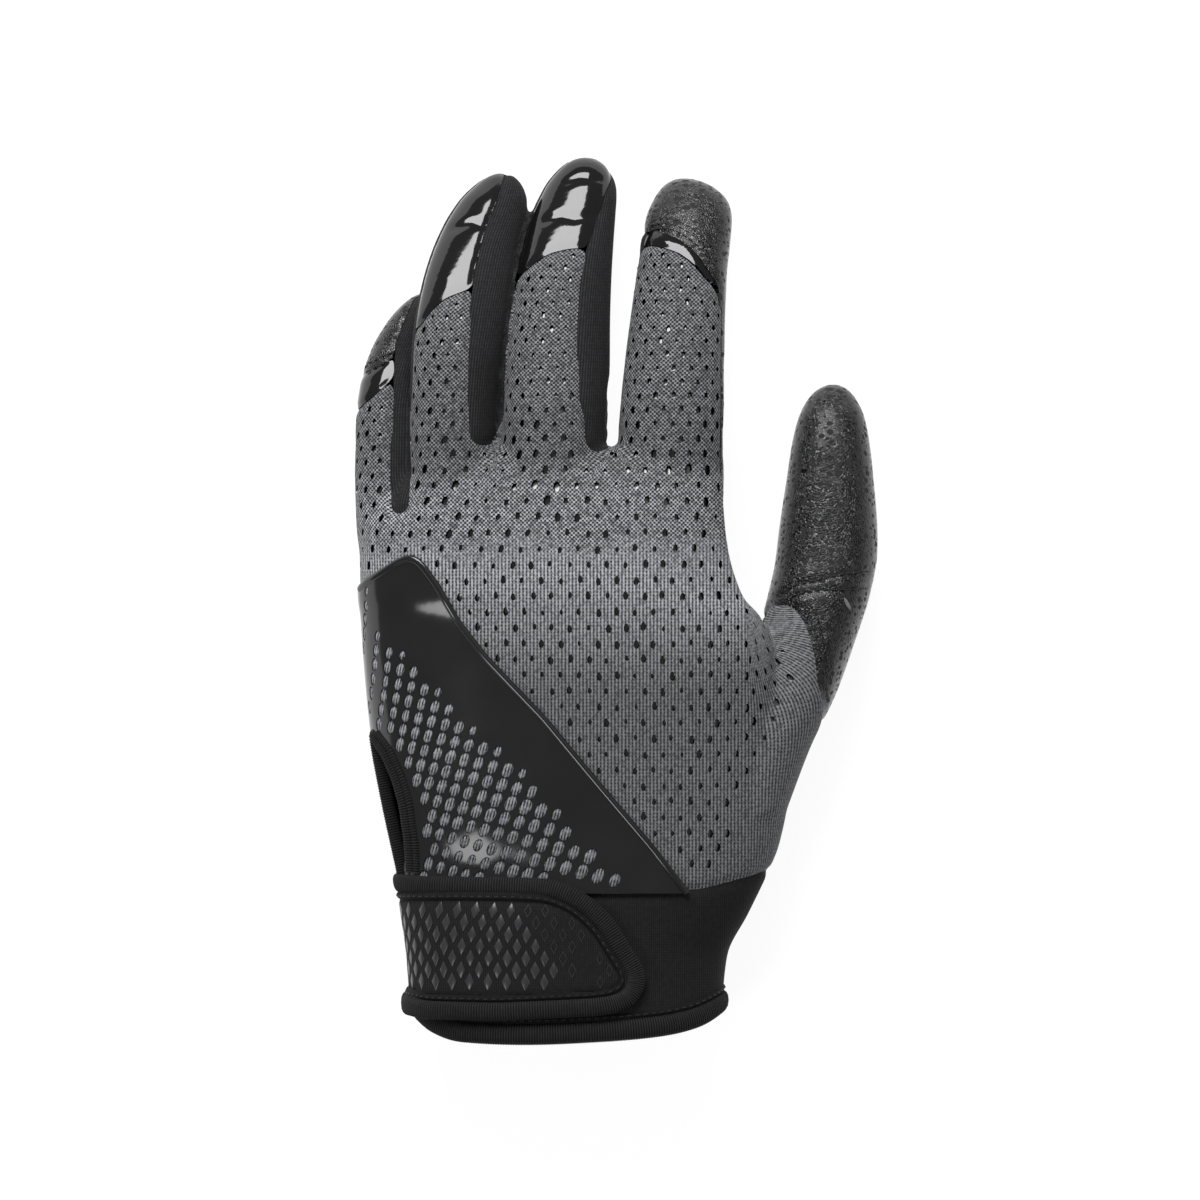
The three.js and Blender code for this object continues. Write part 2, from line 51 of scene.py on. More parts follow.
# %% [markdown]
# ## Camera, floor and light
# The glove is seen from straight above, as a flat lay on white. A long lens keeps the fingers from leaning
# outwards. One wide soft box stands beyond the fingertips and gives the patent film something white to
# mirror; a smaller one at the wrist does the same for the overlay, and a pale surround fills in.

# %% Camera and studio
PICTURE_WIDE = 288.0      # mm across the square picture, at half the glove's height
HALF_HEIGHT = 20.0
VIEW_CENTRE = (-3.96, -0.72)
CAMERA_UP = 2400.0
SENSOR = 36.0
SURROUND = 0.22
# place and size in metres, watts
SOFT_BOXES = {"tip_box": ((-0.15, 0.86, 0.66), (0.72, 0.66), 15.5),
              "wrist_box": ((-0.53, -0.46, 0.72), (0.34, 0.38), 2.3),
              "key_box": ((0.3, 0.5, 1.1), (0.7, 0.4), 0.5),
              "right_fill": ((0.8, -0.3, 0.8), (0.8, 0.6), 1.2)}


def show(item):
    """Puts a new object into the scene."""
    scene.collection.objects.link(item)
    return item


def make_camera():
    """A long lens straight above the glove."""
    data = bpy.data.cameras.new("overhead_camera")
    data.sensor_width = SENSOR
    data.lens = SENSOR * (CAMERA_UP - HALF_HEIGHT) / PICTURE_WIDE
    camera = show(bpy.data.objects.new("overhead_camera", data))
    camera.location = (VIEW_CENTRE[0] * MM, VIEW_CENTRE[1] * MM, CAMERA_UP * MM)
    scene.camera = camera


def soft_box(name, place, size, watts):
    """A rectangular light that looks at the glove."""
    data = bpy.data.lights.new(name, "AREA")
    data.shape = "RECTANGLE"
    data.size, data.size_y = size
    data.energy = watts
    light = show(bpy.data.objects.new(name, data))
    light.location = place
    light.rotation_euler = (Vector((0, 0, 0.02)) - Vector(place)).to_track_quat("-Z", "Y").to_euler()


make_camera()
for name, settings in SOFT_BOXES.items():
    soft_box(name, *settings)
world = bpy.data.worlds.new("pale_surround")
scene.world = world
world.use_nodes = True
world.node_tree.nodes["Background"].inputs["Color"].default_value = (1, 1, 1, 1)
world.node_tree.nodes["Background"].inputs["Strength"].default_value = SURROUND
scene.view_settings.view_transform = "Standard"
print("soft boxes:", len(SOFT_BOXES))

# %% [markdown]
# ## Materials from their real processes
# One function turns a printed colour into linear light, and one small function adds a node with its
# settings and links. Each finish is named for what it is: warp-knit polyester, sheepskin, patent film.

# %% Colour and node helpers
MATH, RANGE, MIX, NOISE = "ShaderNodeMath", "ShaderNodeMapRange", "ShaderNodeMix", "ShaderNodeTexNoise"
TIMES = {"operation": "MULTIPLY"}
SMOOTH = {"interpolation_type": "SMOOTHSTEP"}
COLOURS = {"data_type": "RGBA", "out": 2}      # a mix takes its colours in inputs 6 and 7


def linear(code):
    """An sRGB hex colour as linear RGBA."""
    values = [int(code[i:i + 2], 16) / 255 for i in (0, 2, 4)]
    return (*[v / 12.92 if v <= 0.04045 else ((v + 0.055) / 1.055) ** 2.4 for v in values], 1.0)


def add(tree, kind, inputs=(), out=0, **settings):
    """Adds one node and gives its output. Each input is a value, or another node's output to link."""
    node = tree.nodes.new(kind)
    for name, value in settings.items():
        setattr(node, name, value)
    for key, value in inputs.items() if isinstance(inputs, dict) else enumerate(inputs):
        if isinstance(value, bpy.types.NodeSocket):
            tree.links.new(value, node.inputs[key])
        else:
            node.inputs[key].default_value = value
    return node.outputs[out] if len(node.outputs) else None


def finish(name, roughness, **sockets):
    """A material, its node tree, its Principled shader, and the place on the piece in object coordinates."""
    material = bpy.data.materials.new(name)
    material.use_nodes = True
    tree = material.node_tree
    shader = tree.nodes["Principled BSDF"]
    shader.inputs["Roughness"].default_value = roughness
    for key, value in sockets.items():
        shader.inputs[key.replace("_", " ")].default_value = value
    return material, tree, shader, add(tree, "ShaderNodeTexCoord", out="Object")


def dress(tree, shader, colour, height, depth, strength=1.0):
    """Gives a finish its colour and its relief, whose depth is in mm."""
    tree.links.new(colour, shader.inputs["Base Color"])
    relief = add(tree, "ShaderNodeBump", {"Height": height, "Strength": strength, "Distance": depth * MM})
    tree.links.new(relief, shader.inputs["Normal"])


def cloth_plan(tree):
    """Across and along the fabric, in millimetres, from the piece's own map."""
    place = add(tree, "ShaderNodeUVMap", uv_map="fabric")
    place = add(tree, "ShaderNodeVectorMath", {0: place, "Scale": 1 / MM}, operation="SCALE")
    return add(tree, "ShaderNodeSeparateXYZ", [place], out=slice(0, 2))


def ripple(tree, value, period):
    """A wave from 0 to 1 with its crest every period."""
    turns = add(tree, MATH, [value, 2 * math.pi / period], **TIMES)
    wave = add(tree, MATH, [turns], operation="COSINE")
    return add(tree, MATH, [wave, 0.5, 0.5], operation="MULTIPLY_ADD")


# %% [markdown]
# ### The knit of the back
# Warp-knit polyester: light ribs of loops run down the hand every 0.84 mm with dark gaps between them, and
# over the knuckles and fingers the face turns into a fine bird's-eye. Both come from waves across and along
# the fabric's own map, so the ribs fan round the thumb as the cloth does. The real bird's-eye repeats every
# 0.87 mm, and it is drawn at 0.98 mm, so that it shows.

# %% Knit material
WALE, COURSE, BIRDS_EYE = 0.84, 0.8, 0.98      # mm
LOOSENESS = 0.55                               # mm that the yarns wander sideways
TURNS_INTO_EYE = (12.0, 24.0)                  # mm up the glove


def knit_material():
    """Light yarn over a dark ground, painted lighter over the middle of the hand as painted light: dry, soft, with
    hardly any shine.
    """
    material, tree, shader, place = finish("warp_knit_polyester", 0.85, Sheen_Weight=0.06,
                                           Specular_IOR_Level=0.25)
    across, along = cloth_plan(tree)
    rib_face = add(tree, RANGE, [ripple(tree, across, WALE), 0.24, 0.72], **SMOOTH)
    loops = add(tree, MATH, [ripple(tree, along, COURSE), 0.45], **TIMES)
    wales = add(tree, MIX, {0: rib_face, 2: loops, 3: 1.0})
    loose = add(tree, NOISE, {"Vector": place, "Scale": 380.0, "Detail": 1.0})
    drawn = add(tree, MATH, [loose, LOOSENESS, across], operation="MULTIPLY_ADD")
    slants = [add(tree, MATH, [drawn, along], operation=sign) for sign in ("ADD", "SUBTRACT")]
    rising, falling = (ripple(tree, slant, BIRDS_EYE) for slant in slants)
    eye = add(tree, RANGE, [add(tree, MIX, {0: 0.5, 2: rising, 3: falling}), 0.3, 0.68], **SMOOTH)
    wander = add(tree, NOISE, {"Vector": place, "Scale": 60.0, "Detail": 1.0})
    height = add(tree, MATH, [wander, 16.0, along], operation="MULTIPLY_ADD")
    upper = add(tree, RANGE, [height, *TURNS_INTO_EYE], **SMOOTH)
    cloth = add(tree, MIX, {0: upper, 2: wales, 3: eye})
    speckle = add(tree, NOISE, {"Vector": place, "Scale": 1500.0, "Detail": 2.0})
    shade = add(tree, MATH, [cloth, add(tree, RANGE, [speckle, 0.3, 0.7, 0.45, 1.2], **SMOOTH)], **TIMES)
    mottle = add(tree, NOISE, {"Vector": place, "Scale": 950.0, "Detail": 1.0})
    blotch = add(tree, RANGE, [mottle, 0.35, 0.62, -0.48, 0.12], **SMOOTH)
    lively = add(tree, MATH, [upper, blotch, 1.0], operation="MULTIPLY_ADD")
    shade = add(tree, MATH, [shade, lively], **TIMES)
    # painted light: the yarn is painted lighter from the middle of the hand to the knuckles, as a broad pool of
    # light, and less so up the fingers
    pale = add(tree, MATH, [add(tree, RANGE, [along, -26.0, 10.0], **SMOOTH),
                            add(tree, RANGE, [along, 18.0, 36.0, 1.0, 0.22], **SMOOTH)], **TIMES)
    yarn = add(tree, MIX, {0: pale, 6: linear("77787b"), 7: linear("b0b2b7")}, **COLOURS)
    colour = add(tree, MIX, {0: shade, 6: linear("19191b"), 7: yarn}, **COLOURS)
    dress(tree, shader, colour, cloth, 0.12, 0.6)
    return material


KNIT = knit_material()
print("knit:", KNIT.name, "with", len(KNIT.node_tree.nodes), "nodes")

# %% [markdown]
# ### Leather, film and neoprene
# The palm's sheepskin is dyed black and glazed: matt dark grey spots stand on a glossy, nearly black ground
# with fine crackle, so the spots look dark where the ground mirrors a light, and light elsewhere. The film is
# polyurethane, smooth as patent leather. Neoprene and the gussets' knit are matt, with a fine thread pattern.

# %% Leather and film
def leather_material():
    """Matt spots about 1.2 mm wide on a glazed ground, with crackle every 0.5 mm and long soft creases."""
    material, tree, shader, place = finish("glazed_spotted_sheepskin", 0.42, Specular_IOR_Level=0.5)
    wide = add(tree, "ShaderNodeMapping", {0: place, 3: (0.78, 1.1, 1.0)})
    distance, chance = add(tree, "ShaderNodeTexVoronoi", {"Vector": wide, "Scale": 590.0, "Randomness": 0.75},
                           out=slice(0, 2))
    chance = add(tree, "ShaderNodeSeparateXYZ", [chance])
    ragged = add(tree, NOISE, {"Vector": place, "Scale": 1600.0, "Detail": 2.0})
    frayed = add(tree, MATH, [ragged, 0.34], **TIMES)
    radius = add(tree, MATH, [chance, 0.3, frayed], operation="MULTIPLY_ADD")
    beyond = add(tree, MATH, [distance, radius], operation="SUBTRACT")
    ground = add(tree, RANGE, [beyond, -0.05, 0.03], **SMOOTH)
    grain = add(tree, "ShaderNodeTexVoronoi", {"Vector": place, "Scale": 1900.0}, feature="DISTANCE_TO_EDGE")
    pebble = add(tree, RANGE, [grain, 0.0, 0.25], **SMOOTH)
    worn = add(tree, NOISE, {"Vector": place, "Scale": 70.0, "Detail": 4.0})
    glaze = add(tree, MATH, [ground, add(tree, RANGE, [worn, 0.22, 0.36], **SMOOTH)], **TIMES)
    gloss = add(tree, RANGE, [glaze, 0.0, 1.0, 0.85, 0.13], **SMOOTH)
    tree.links.new(gloss, shader.inputs["Roughness"])
    long_way = add(tree, "ShaderNodeMapping", {0: place, 3: (0.5, 1.6, 1.0)})
    folds = add(tree, NOISE, {"Vector": long_way, "Scale": 150.0, "Detail": 2.0})
    relief = add(tree, MATH, [folds, 0.3], **TIMES)
    for layer, share in ((ragged, 0.14), (pebble, 0.28)):
        relief = add(tree, MATH, [layer, share, relief], operation="MULTIPLY_ADD")
    colour = add(tree, MIX, {0: ground, 6: linear("171719"), 7: linear("050506")}, **COLOURS)
    dress(tree, shader, colour, relief, 0.2)
    return material


def film_material(name, dark, light, roughness, specular=0.6):
    """Polyurethane film: near black, mirror-like, a little uneven from what lies beneath it."""
    material, tree, shader, place = finish(name, roughness, Specular_IOR_Level=specular)
    uneven = add(tree, NOISE, {"Vector": place, "Scale": 110.0, "Detail": 1.0})
    colour = add(tree, MIX, {0: uneven, 6: linear(dark), 7: linear(light)}, **COLOURS)
    dress(tree, shader, colour, uneven, 0.25, 0.35)
    return material


LEATHER = leather_material()
# cast smooth on polished paper: sharp glints, and black beside them
PATENT = film_material("patent_polyurethane_film", "0b0b0c", "101011", 0.08)
# pressed in a mould: a little greyer than the patent film, with softer glints
OVERLAY = film_material("moulded_overlay_film", "141415", "1d1d1e", 0.13)
# moulded in a satin mould: a broad, dim shine that shows each slope
LOZENGE = film_material("moulded_lozenge_rubber", "212123", "2f2f31", 0.3)
# laminated under the knit and seen in its eyelets: nearly black, with a hard glint
LINING = film_material("black_film_lining", "050505", "0a0a0a", 0.14, 1.0)
print("leather:", LEATHER.name, "with", len(LEATHER.node_tree.nodes), "nodes; films: 4")

# %% Cloth and thread
def thread_cloth(name, dark, light, period, roughness):
    """Fine rib knit or jersey: thread lines along the fabric, period in mm."""
    material, tree, shader, place = finish(name, roughness, Sheen_Weight=0.03, Specular_IOR_Level=0.12)
    across, along = cloth_plan(tree)
    links = add(tree, RANGE, [ripple(tree, along, period * 1.3), 0.0, 1.0, 0.6, 1.0], **SMOOTH)
    threads = add(tree, MATH, [ripple(tree, across, period), links], **TIMES)
    speckle = add(tree, NOISE, {"Vector": place, "Scale": 900.0, "Detail": 2.0})
    shade = add(tree, MATH, [threads, add(tree, RANGE, [speckle, 0.3, 0.7, 0.6, 1.2], **SMOOTH)], **TIMES)
    colour = add(tree, MIX, {0: shade, 6: linear(dark), 7: linear(light)}, **COLOURS)
    dress(tree, shader, colour, threads, 0.08, 0.6)
    return material


def plain_cloth(name, dark, light, roughness):
    """Tape and thread: a dark yarn with slightly lighter fibres."""
    material, tree, shader, place = finish(name, roughness, Sheen_Weight=0.03, Specular_IOR_Level=0.15)
    fibre = add(tree, NOISE, {"Vector": place, "Scale": 700.0, "Detail": 3.0})
    colour = add(tree, MIX, {0: fibre, 6: linear(dark), 7: linear(light)}, **COLOURS)
    dress(tree, shader, colour, fibre, 0.05, 0.5)
    return material


# knitted in ribs: thread lines with dark gaps, and no shine
RIB_KNIT = thread_cloth("black_rib_knit", "161617", "303032", 0.62, 0.9)
# foam rubber with a knitted face: matt and even, with faint thread lines
NEOPRENE = thread_cloth("jersey_faced_neoprene", "131314", "262627", 0.5, 0.88)
# the same fine face over padding, a little darker
STRAP_CLOTH = thread_cloth("strap_face_cloth", "121213", "242425", 0.5, 0.85)
# woven tape, painted shade: the ground between its ribs, and each tape's body and welt, painted nearly black
TAPE = plain_cloth("grosgrain_tape_painted_shade", "080808", "131314", 0.85)
# its ribs stand proud, and the same yarn is painted lighter on them as a painted highlight
RIB = plain_cloth("grosgrain_tape_rib_painted_highlight", "1b1b1c", "2c2c2e", 0.7)
# tightly twisted: the one yarn with a shine
THREAD = plain_cloth("black_sewing_thread", "171718", "303032", 0.4)
# lining cloth seen in cut slits: grey and dry
SLIT_CLOTH = plain_cloth("grey_slit_lining", "58585a", "7c7c7e", 0.8)
print("materials:", len(bpy.data.materials))

# %% [markdown]
# ### The floor
# A plain sheet of opal acrylic, lit from below as on a product table. Nearly all of its white comes through
# the sheet, so that hardly any shadow is left round the glove and its dark edges stay dark.

# %% Floor
FLOOR_HALF = 1.5          # m
FLOOR_GLOW = 0.92


def make_floor():
    """The sheet that the glove lies on, as a part of the stage."""
    mesh = bpy.data.meshes.new("pale_floor")
    h = FLOOR_HALF
    mesh.from_pydata([(-h, -h, 0), (h, -h, 0), (h, h, 0), (-h, h, 0)], [], [(0, 1, 2, 3)])
    floor = show(bpy.data.objects.new("pale_floor", mesh))
    material, tree, shader, place = finish("backlit_acrylic_sheet", 0.9, Specular_IOR_Level=0.0,
                                           Emission_Color=(1, 1, 1, 1), Emission_Strength=FLOOR_GLOW)
    grain = add(tree, NOISE, {"Vector": place, "Scale": 400.0})
    colour = add(tree, MIX, {0: grain, 6: linear("6e6e6e"), 7: linear("767676")}, **COLOURS)
    tree.links.new(colour, shader.inputs["Base Color"])
    mesh.materials.append(material)


make_floor()
print("floor:", 2 * FLOOR_HALF, "m square")

# %% [markdown]
# ## The filled-out form
# Each finger is a row of rounded sections, and so are the thumb and the hand. A smooth curve through their
# sizes gives sections every millimetre, and a voxel remesh fuses the tubes into one skin, which is relaxed
# until the webs between the fingers are soft. Every panel is then cut from this one skin, so neighbours meet
# exactly along their seams.

# %% Sizes of the fingers and the hand
# y, centre x, centre z, width, height
FINGERS = {
    "index": [(9, 13, 25.5, 24, 23), (30.6, 13, 27.3, 25.4, 24), (42, 13.2, 27, 25.4, 23),
              (57, 13.9, 24.6, 24.2, 21), (68, 14.7, 21.4, 23, 19.8), (78, 15.6, 17.6, 22, 18.8),
              (86, 16.7, 13.8, 21.6, 17.8), (91.5, 17.5, 10.8, 20.8, 17), (95.6, 17.8, 8.8, 18, 15.6),
              (99.4, 17.1, 7.4, 11, 10.6), (101.1, 16.4, 7, 0, 0)],
    "middle": [(9, -15.2, 26, 24, 23.6), (30.6, -15, 27.8, 25.2, 24.6), (42.6, -14.7, 27.6, 25.6, 23.6),
               (55, -14.3, 25.6, 25.4, 21.8), (66, -13.7, 22.8, 24.4, 20.4), (76, -12.8, 19.4, 23.2, 19.4),
               (85, -11.6, 15.4, 21.8, 18.4), (92, -10.4, 11.8, 20.4, 17.4), (98.6, -8.8, 8.8, 17.6, 15.6),
               (103.6, -7.9, 7.3, 11.6, 11.2), (106.4, -7.7, 7, 0, 0)],
    "ring": [(9, -39.6, 22.6, 20.2, 21.6), (28, -39.2, 24.8, 20.4, 22.2), (42, -39.1, 25.8, 20.8, 21.4),
             (55, -38.5, 25.6, 21.6, 20.2), (66, -37.2, 23.2, 22.6, 19.2), (75, -35.7, 19.6, 22.2, 18.4),
             (83, -34.1, 15.4, 20.8, 17.6), (90, -31.8, 11.4, 19.4, 16.8), (95.2, -29.9, 8.8, 16.8, 15.4),
             (100.4, -28.3, 7, 9.6, 9.8), (102.6, -27.9, 6.8, 0, 0)],
    "pinky": [(0, -52.4, 18.6, 15.2, 18), (18, -54.4, 18.4, 16.2, 18.4), (32, -54.8, 16.8, 16.2, 17.4),
              (43, -54.7, 14.2, 16, 16.6), (52, -53.7, 11.4, 15.8, 16), (60, -51.3, 8.6, 15.4, 15.4),
              (66.5, -48.4, 7.7, 13.6, 14.4), (71.8, -45.8, 7, 8.8, 9.8), (74, -44.7, 6.8, 0, 0)],
    "thumb": [(-52, 31, 19.5, 19, 30), (-36, 35.6, 19.4, 22, 31), (-22.2, 41.2, 18.2, 24, 29.6),
              (-10.2, 45.4, 16.4, 24.2, 27), (0.6, 48.7, 14.8, 24.6, 25), (10.2, 50.6, 13.2, 24.4, 23.2),
              (29.4, 51.5, 10.4, 20.8, 19.8), (37.6, 51.7, 9.2, 18.6, 18), (43.6, 51.9, 8.2, 15.8, 15.6),
              (49.2, 52.1, 7, 9.4, 9.4), (51.4, 52.3, 6.8, 0, 0)],
}
# y, little-finger edge, thumb edge, rest, top, roll in degrees
HAND = [(-112, -47.6, 25.4, 2.1, 40.6, 0), (-96, -47.8, 25.6, 2.1, 39.8, 0), (-86, -48.4, 26.6, 2.1, 39.4, 0),
        (-76, -49.8, 31.6, 2.1, 39, 1), (-66, -51.4, 36.4, 2.1, 38.4, 2), (-59, -53.2, 39.2, 0.2, 38.2, 3),
        (-46, -56.2, 41.4, 0, 38.6, 4), (-34, -58.5, 40.8, 0, 39.4, 5), (-13, -60.6, 38, 3, 41, 6.5),
        (-4.5, -61.2, 34.6, 4.2, 41.4, 7), (0, -61.8, 30.6, 5, 41.8, 7), (16, -62, 26.4, 7.8, 42.2, 7),
        (22, -59, 25.9, 9, 41.8, 7), (29.5, -51.2, 25.5, 10.6, 40, 6), (36, -43, 24.4, 14, 35, 4)]
FINGER_POWER = 2.3        # 2 would be an ellipse; more is squarer
HAND_POWER = 2.5
REST_SAG = 2.5            # the hand's section would pass this far below its flat rest
RESTING = 3.0             # a rest lower than this is the surface itself
print("sections:", {name: len(rows) for name, rows in FINGERS.items()}, "hand:", len(HAND))

# %% Sections and tubes
def smooth(low, high, value):
    """A soft step from 0 at low to 1 at high."""
    t = np.clip((value - low) / (high - low), 0, 1)
    return t * t * (3 - 2 * t)


def through(xs, ys, x):
    """A smooth curve through the points (xs, ys) that never overshoots them, read at x."""
    xs, ys = np.asarray(xs, float), np.asarray(ys, float)
    step = np.diff(xs)
    slope = np.diff(ys) / step
    w1, w2 = 2 * step[1:] + step[:-1], step[1:] + 2 * step[:-1]
    both = slope[1:] * slope[:-1] > 0
    safe = np.where(both, 1.0, 0.0)
    lean = np.zeros_like(ys)
    lean[1:-1] = safe * (w1 + w2) / (w1 / np.where(both, slope[:-1], 1) + w2 / np.where(both, slope[1:], 1))
    lean[0], lean[-1] = slope[0], slope[-1]
    i = np.clip(np.searchsorted(xs, x) - 1, 0, len(step) - 1)
    h, t = step[i], (x - xs[i]) / step[i]
    return ((1 + 2 * t) * (1 - t) ** 2 * ys[i] + t * (1 - t) ** 2 * h * lean[i]
            + t * t * (3 - 2 * t) * ys[i + 1] + t * t * (t - 1) * h * lean[i + 1])


def section(y, x, z, half_wide, half_high, power, sides, roll=0.0, rest=-99.0):
    """One rounded section in a plane across the glove."""
    angle = np.linspace(0, 2 * math.pi, sides, endpoint=False)
    c, s = np.cos(angle), np.sin(angle)
    across = half_wide * np.sign(c) * np.abs(c) ** (2 / power)
    up = half_high * np.sign(s) * np.abs(s) ** (2 / power)
    height = z + up * math.cos(roll) + across * math.sin(roll)
    return np.column_stack([x + across * math.cos(roll), np.full(sides, y), np.maximum(height, rest)])


def finger_rings(rows, sides=56, count=110):
    """Sections crowd towards the tip, where squared sizes are read, so that the end is round."""
    y, x, z, wide, high = np.array(rows, float).T
    places = y[0] + (y[-1] - y[0]) * np.sin(np.linspace(0, math.pi / 2, count))
    widths = np.sqrt(np.maximum(through(y, wide ** 2, places), 0.002))
    heights = np.sqrt(np.maximum(through(y, high ** 2, places), 0.002))
    return [section(p, cx, cz, w / 2, h / 2, FINGER_POWER, sides) for p, cx, cz, w, h in
            zip(places, through(y, x, places), through(y, z, places), widths, heights)]


def hand_rings(sides=120, count=150):
    """The hand's sections, cut flat where it rests."""
    y, left, right, rest, top, roll = np.array(HAND, float).T
    sag = np.where(rest < RESTING, REST_SAG, 0.0)
    rings = []
    for p in np.linspace(y[0], y[-1], count):
        a, b, low, high, turn, droop = (through(y, values, np.array([p]))[0]
                                        for values in (left, right, rest, top, roll, sag))
        rings.append(section(p, (a + b) / 2, (high + low - droop) / 2, (b - a) / 2, (high - low + droop) / 2,
                             HAND_POWER, sides, math.radians(turn), low))
    return rings


def bands(rows, sides, around=False, inward=False):
    """Faces between rings of points. The rings close on themselves, or else both ends are capped."""
    faces = [(r * sides + k, r * sides + (k + 1) % sides, (r + 1) % rows * sides + (k + 1) % sides,
              (r + 1) % rows * sides + k) for r in range(rows if around else rows - 1) for k in range(sides)]
    first, last = tuple(range(sides)), tuple(range((rows - 1) * sides, rows * sides))
    if inward:
        faces = [(a, d, c, b) for a, b, c, d in faces]
        first, last = first[::-1], last[::-1]
    return faces if around else faces + [first[::-1], last]


tubes = [(np.concatenate(rings), bands(len(rings), len(rings[0]), inward=True))
         for rings in [hand_rings()] + [finger_rings(rows) for rows in FINGERS.values()]]
print("tubes:", len(tubes))

# %% [markdown]
# ### One skin
# The remesh turns the overlapping tubes into even quads. A few rounds of relaxing, each followed by a step
# back so that nothing shrinks, take out the voxel steps and round the creases between the fingers.

# %% Meshes and modifiers
VOXEL = 0.8               # mm


def mesh_from(name, points, faces):
    """A mesh in metres from points in millimetres."""
    mesh = bpy.data.meshes.new(name)
    mesh.from_pydata((np.asarray(points) * MM).tolist(), [],
                     faces if isinstance(faces, list) else faces.tolist())
    return mesh


def changed(mesh, kind, inputs=None, **settings):
    """The mesh after one modifier, as a new plain mesh. Inputs of a node tree are given by name."""
    item = show(bpy.data.objects.new("work", mesh))
    change = item.modifiers.new("change", kind)
    for name, value in settings.items():
        setattr(change, name, value)
    for socket in change.node_group.interface.items_tree if inputs else ():
        if socket.name in inputs:
            change[socket.identifier] = inputs[socket.name]
    result = bpy.data.meshes.new_from_object(item.evaluated_get(bpy.context.evaluated_depsgraph_get()))
    bpy.data.objects.remove(item)
    return result


def arrays(mesh):
    """Points in millimetres and triangles of a mesh."""
    mesh.calc_loop_triangles()
    points = np.empty(len(mesh.vertices) * 3)
    mesh.vertices.foreach_get("co", points)
    triangles = np.empty(len(mesh.loop_triangles) * 3, np.int32)
    mesh.loop_triangles.foreach_get("vertices", triangles)
    return points.reshape(-1, 3) / MM, triangles.reshape(-1, 3)


def fuse(parts, voxel):
    """Overlapping tubes as one even skin: its points in millimetres and its triangles."""
    points = np.concatenate([p for p, _ in parts])
    starts = np.cumsum([0] + [len(p) for p, _ in parts])
    faces = [tuple(i + start for i in face) for start, (_, group) in zip(starts, parts) for face in group]
    return arrays(changed(mesh_from("tubes", points, faces), "REMESH", mode="VOXEL", voxel_size=voxel * MM))


# %% Fuse and relax the skin
RELAXING = [0.5] * 3 + [0.5, -0.53] * 6      # the steps towards the neighbours' mean
PULL = (2.0, -66, 6.5)    # above it the strap pulls the back in: how deep, at which y, how far along, mm
FROM_ABOVE = 80.0         # over the highest knuckle


def edges_of(triangles):
    """Each edge once, as a pair of points."""
    pairs = np.sort(np.concatenate([triangles[:, [0, 1]], triangles[:, [1, 2]], triangles[:, [2, 0]]]), axis=1)
    return np.unique(pairs, axis=0)


def neighbour_mean(values, edges):
    """The mean of each point's neighbours, column by column."""
    a, b = edges.T
    size = len(values)
    number = np.bincount(a, minlength=size) + np.bincount(b, minlength=size)
    table = values.reshape(size, -1)
    total = np.column_stack([np.bincount(a, table[b, k], size) + np.bincount(b, table[a, k], size)
                             for k in range(table.shape[1])])
    return (total / np.maximum(number, 1)[:, None]).reshape(values.shape)


def normals_of(points, triangles):
    """Each point's normal, from the triangles round it."""
    corner = points[triangles]
    faces = np.cross(corner[:, 1] - corner[:, 0], corner[:, 2] - corner[:, 0])
    normals = np.zeros_like(points)
    for k in range(3):
        for axis in range(3):
            normals[:, axis] += np.bincount(triangles[:, k], faces[:, axis], len(points))
    return normals / np.maximum(np.linalg.norm(normals, axis=1), 1e-9)[:, None]


skin, skin_faces = fuse(tubes, VOXEL)
skin_edges = edges_of(skin_faces)
for step in RELAXING:
    skin = skin + step * (neighbour_mean(skin, skin_edges) - skin)
skin[:, 2] -= (PULL[0] * np.exp(-((skin[:, 1] - PULL[1]) / PULL[2]) ** 2) * smooth(-8, -26, skin[:, 0])
               * smooth(18, 30, skin[:, 2]))
skin_normals = normals_of(skin, skin_faces)
if (skin_normals[:, 2] * (skin[:, 2] - HALF_HEIGHT)).sum() < 0:
    skin_faces = skin_faces[:, ::-1]
    skin_normals = -skin_normals
SKIN_TREE = BVHTree.FromPolygons(skin.tolist(), skin_faces.tolist())
print("skin points:", len(skin), "triangles:", len(skin_faces),
      "box:", skin.min(0).round(1), skin.max(0).round(1))


def drop(x, y):
    """The skin's highest point over a place in the plan, and its normal."""
    place, normal, _, _ = SKIN_TREE.ray_cast(Vector((x, y, FROM_ABOVE)), Vector((0, 0, -1)))
    return (None, None) if place is None else (np.array(place), np.array(normal))


# %% [markdown]
# ## Cutting the skin into panels
# A glove is sewn from flat panels that meet in seams. Each skin point belongs to the CAD panel that lies
# nearest to it, and the line where two panels are equally near is their seam. Cutting the triangles exactly
# on that line keeps a seam as smooth as a tailor's cut, which picking whole faces would not.

# %% Distances
PANELS = ["back_mesh_panel", "palm_leather_panel", "thumb_leather", "fourchette_index_middle",
          "fourchette_middle_ring", "fourchette_ring_pinky", "fingertip_film_middle", "fingertip_film_ring",
          "film_strip_index", "film_strip_pinky", "wrist_cuff"]
NEAR_ENOUGH = 6.0         # mm; a node further away than this never owns a point
FAR = 50.0                # stands for a node that is nowhere near


def node_distances(points, names):
    """The distance from each point to each CAD node, in mm."""
    table = np.full((len(points), len(names)), FAR)
    for column, name in enumerate(names):
        corners, triangles = arrays(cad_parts[name].data)
        low, high = corners.min(0) - NEAR_ENOUGH, corners.max(0) + NEAR_ENOUGH
        tree = BVHTree.FromPolygons(corners.tolist(), triangles.tolist())
        for i in np.nonzero(((points > low) & (points < high)).all(1))[0]:
            found = tree.find_nearest(points[i], NEAR_ENOUGH)
            if found[0] is not None:
                table[i, column] = found[3]
    return table


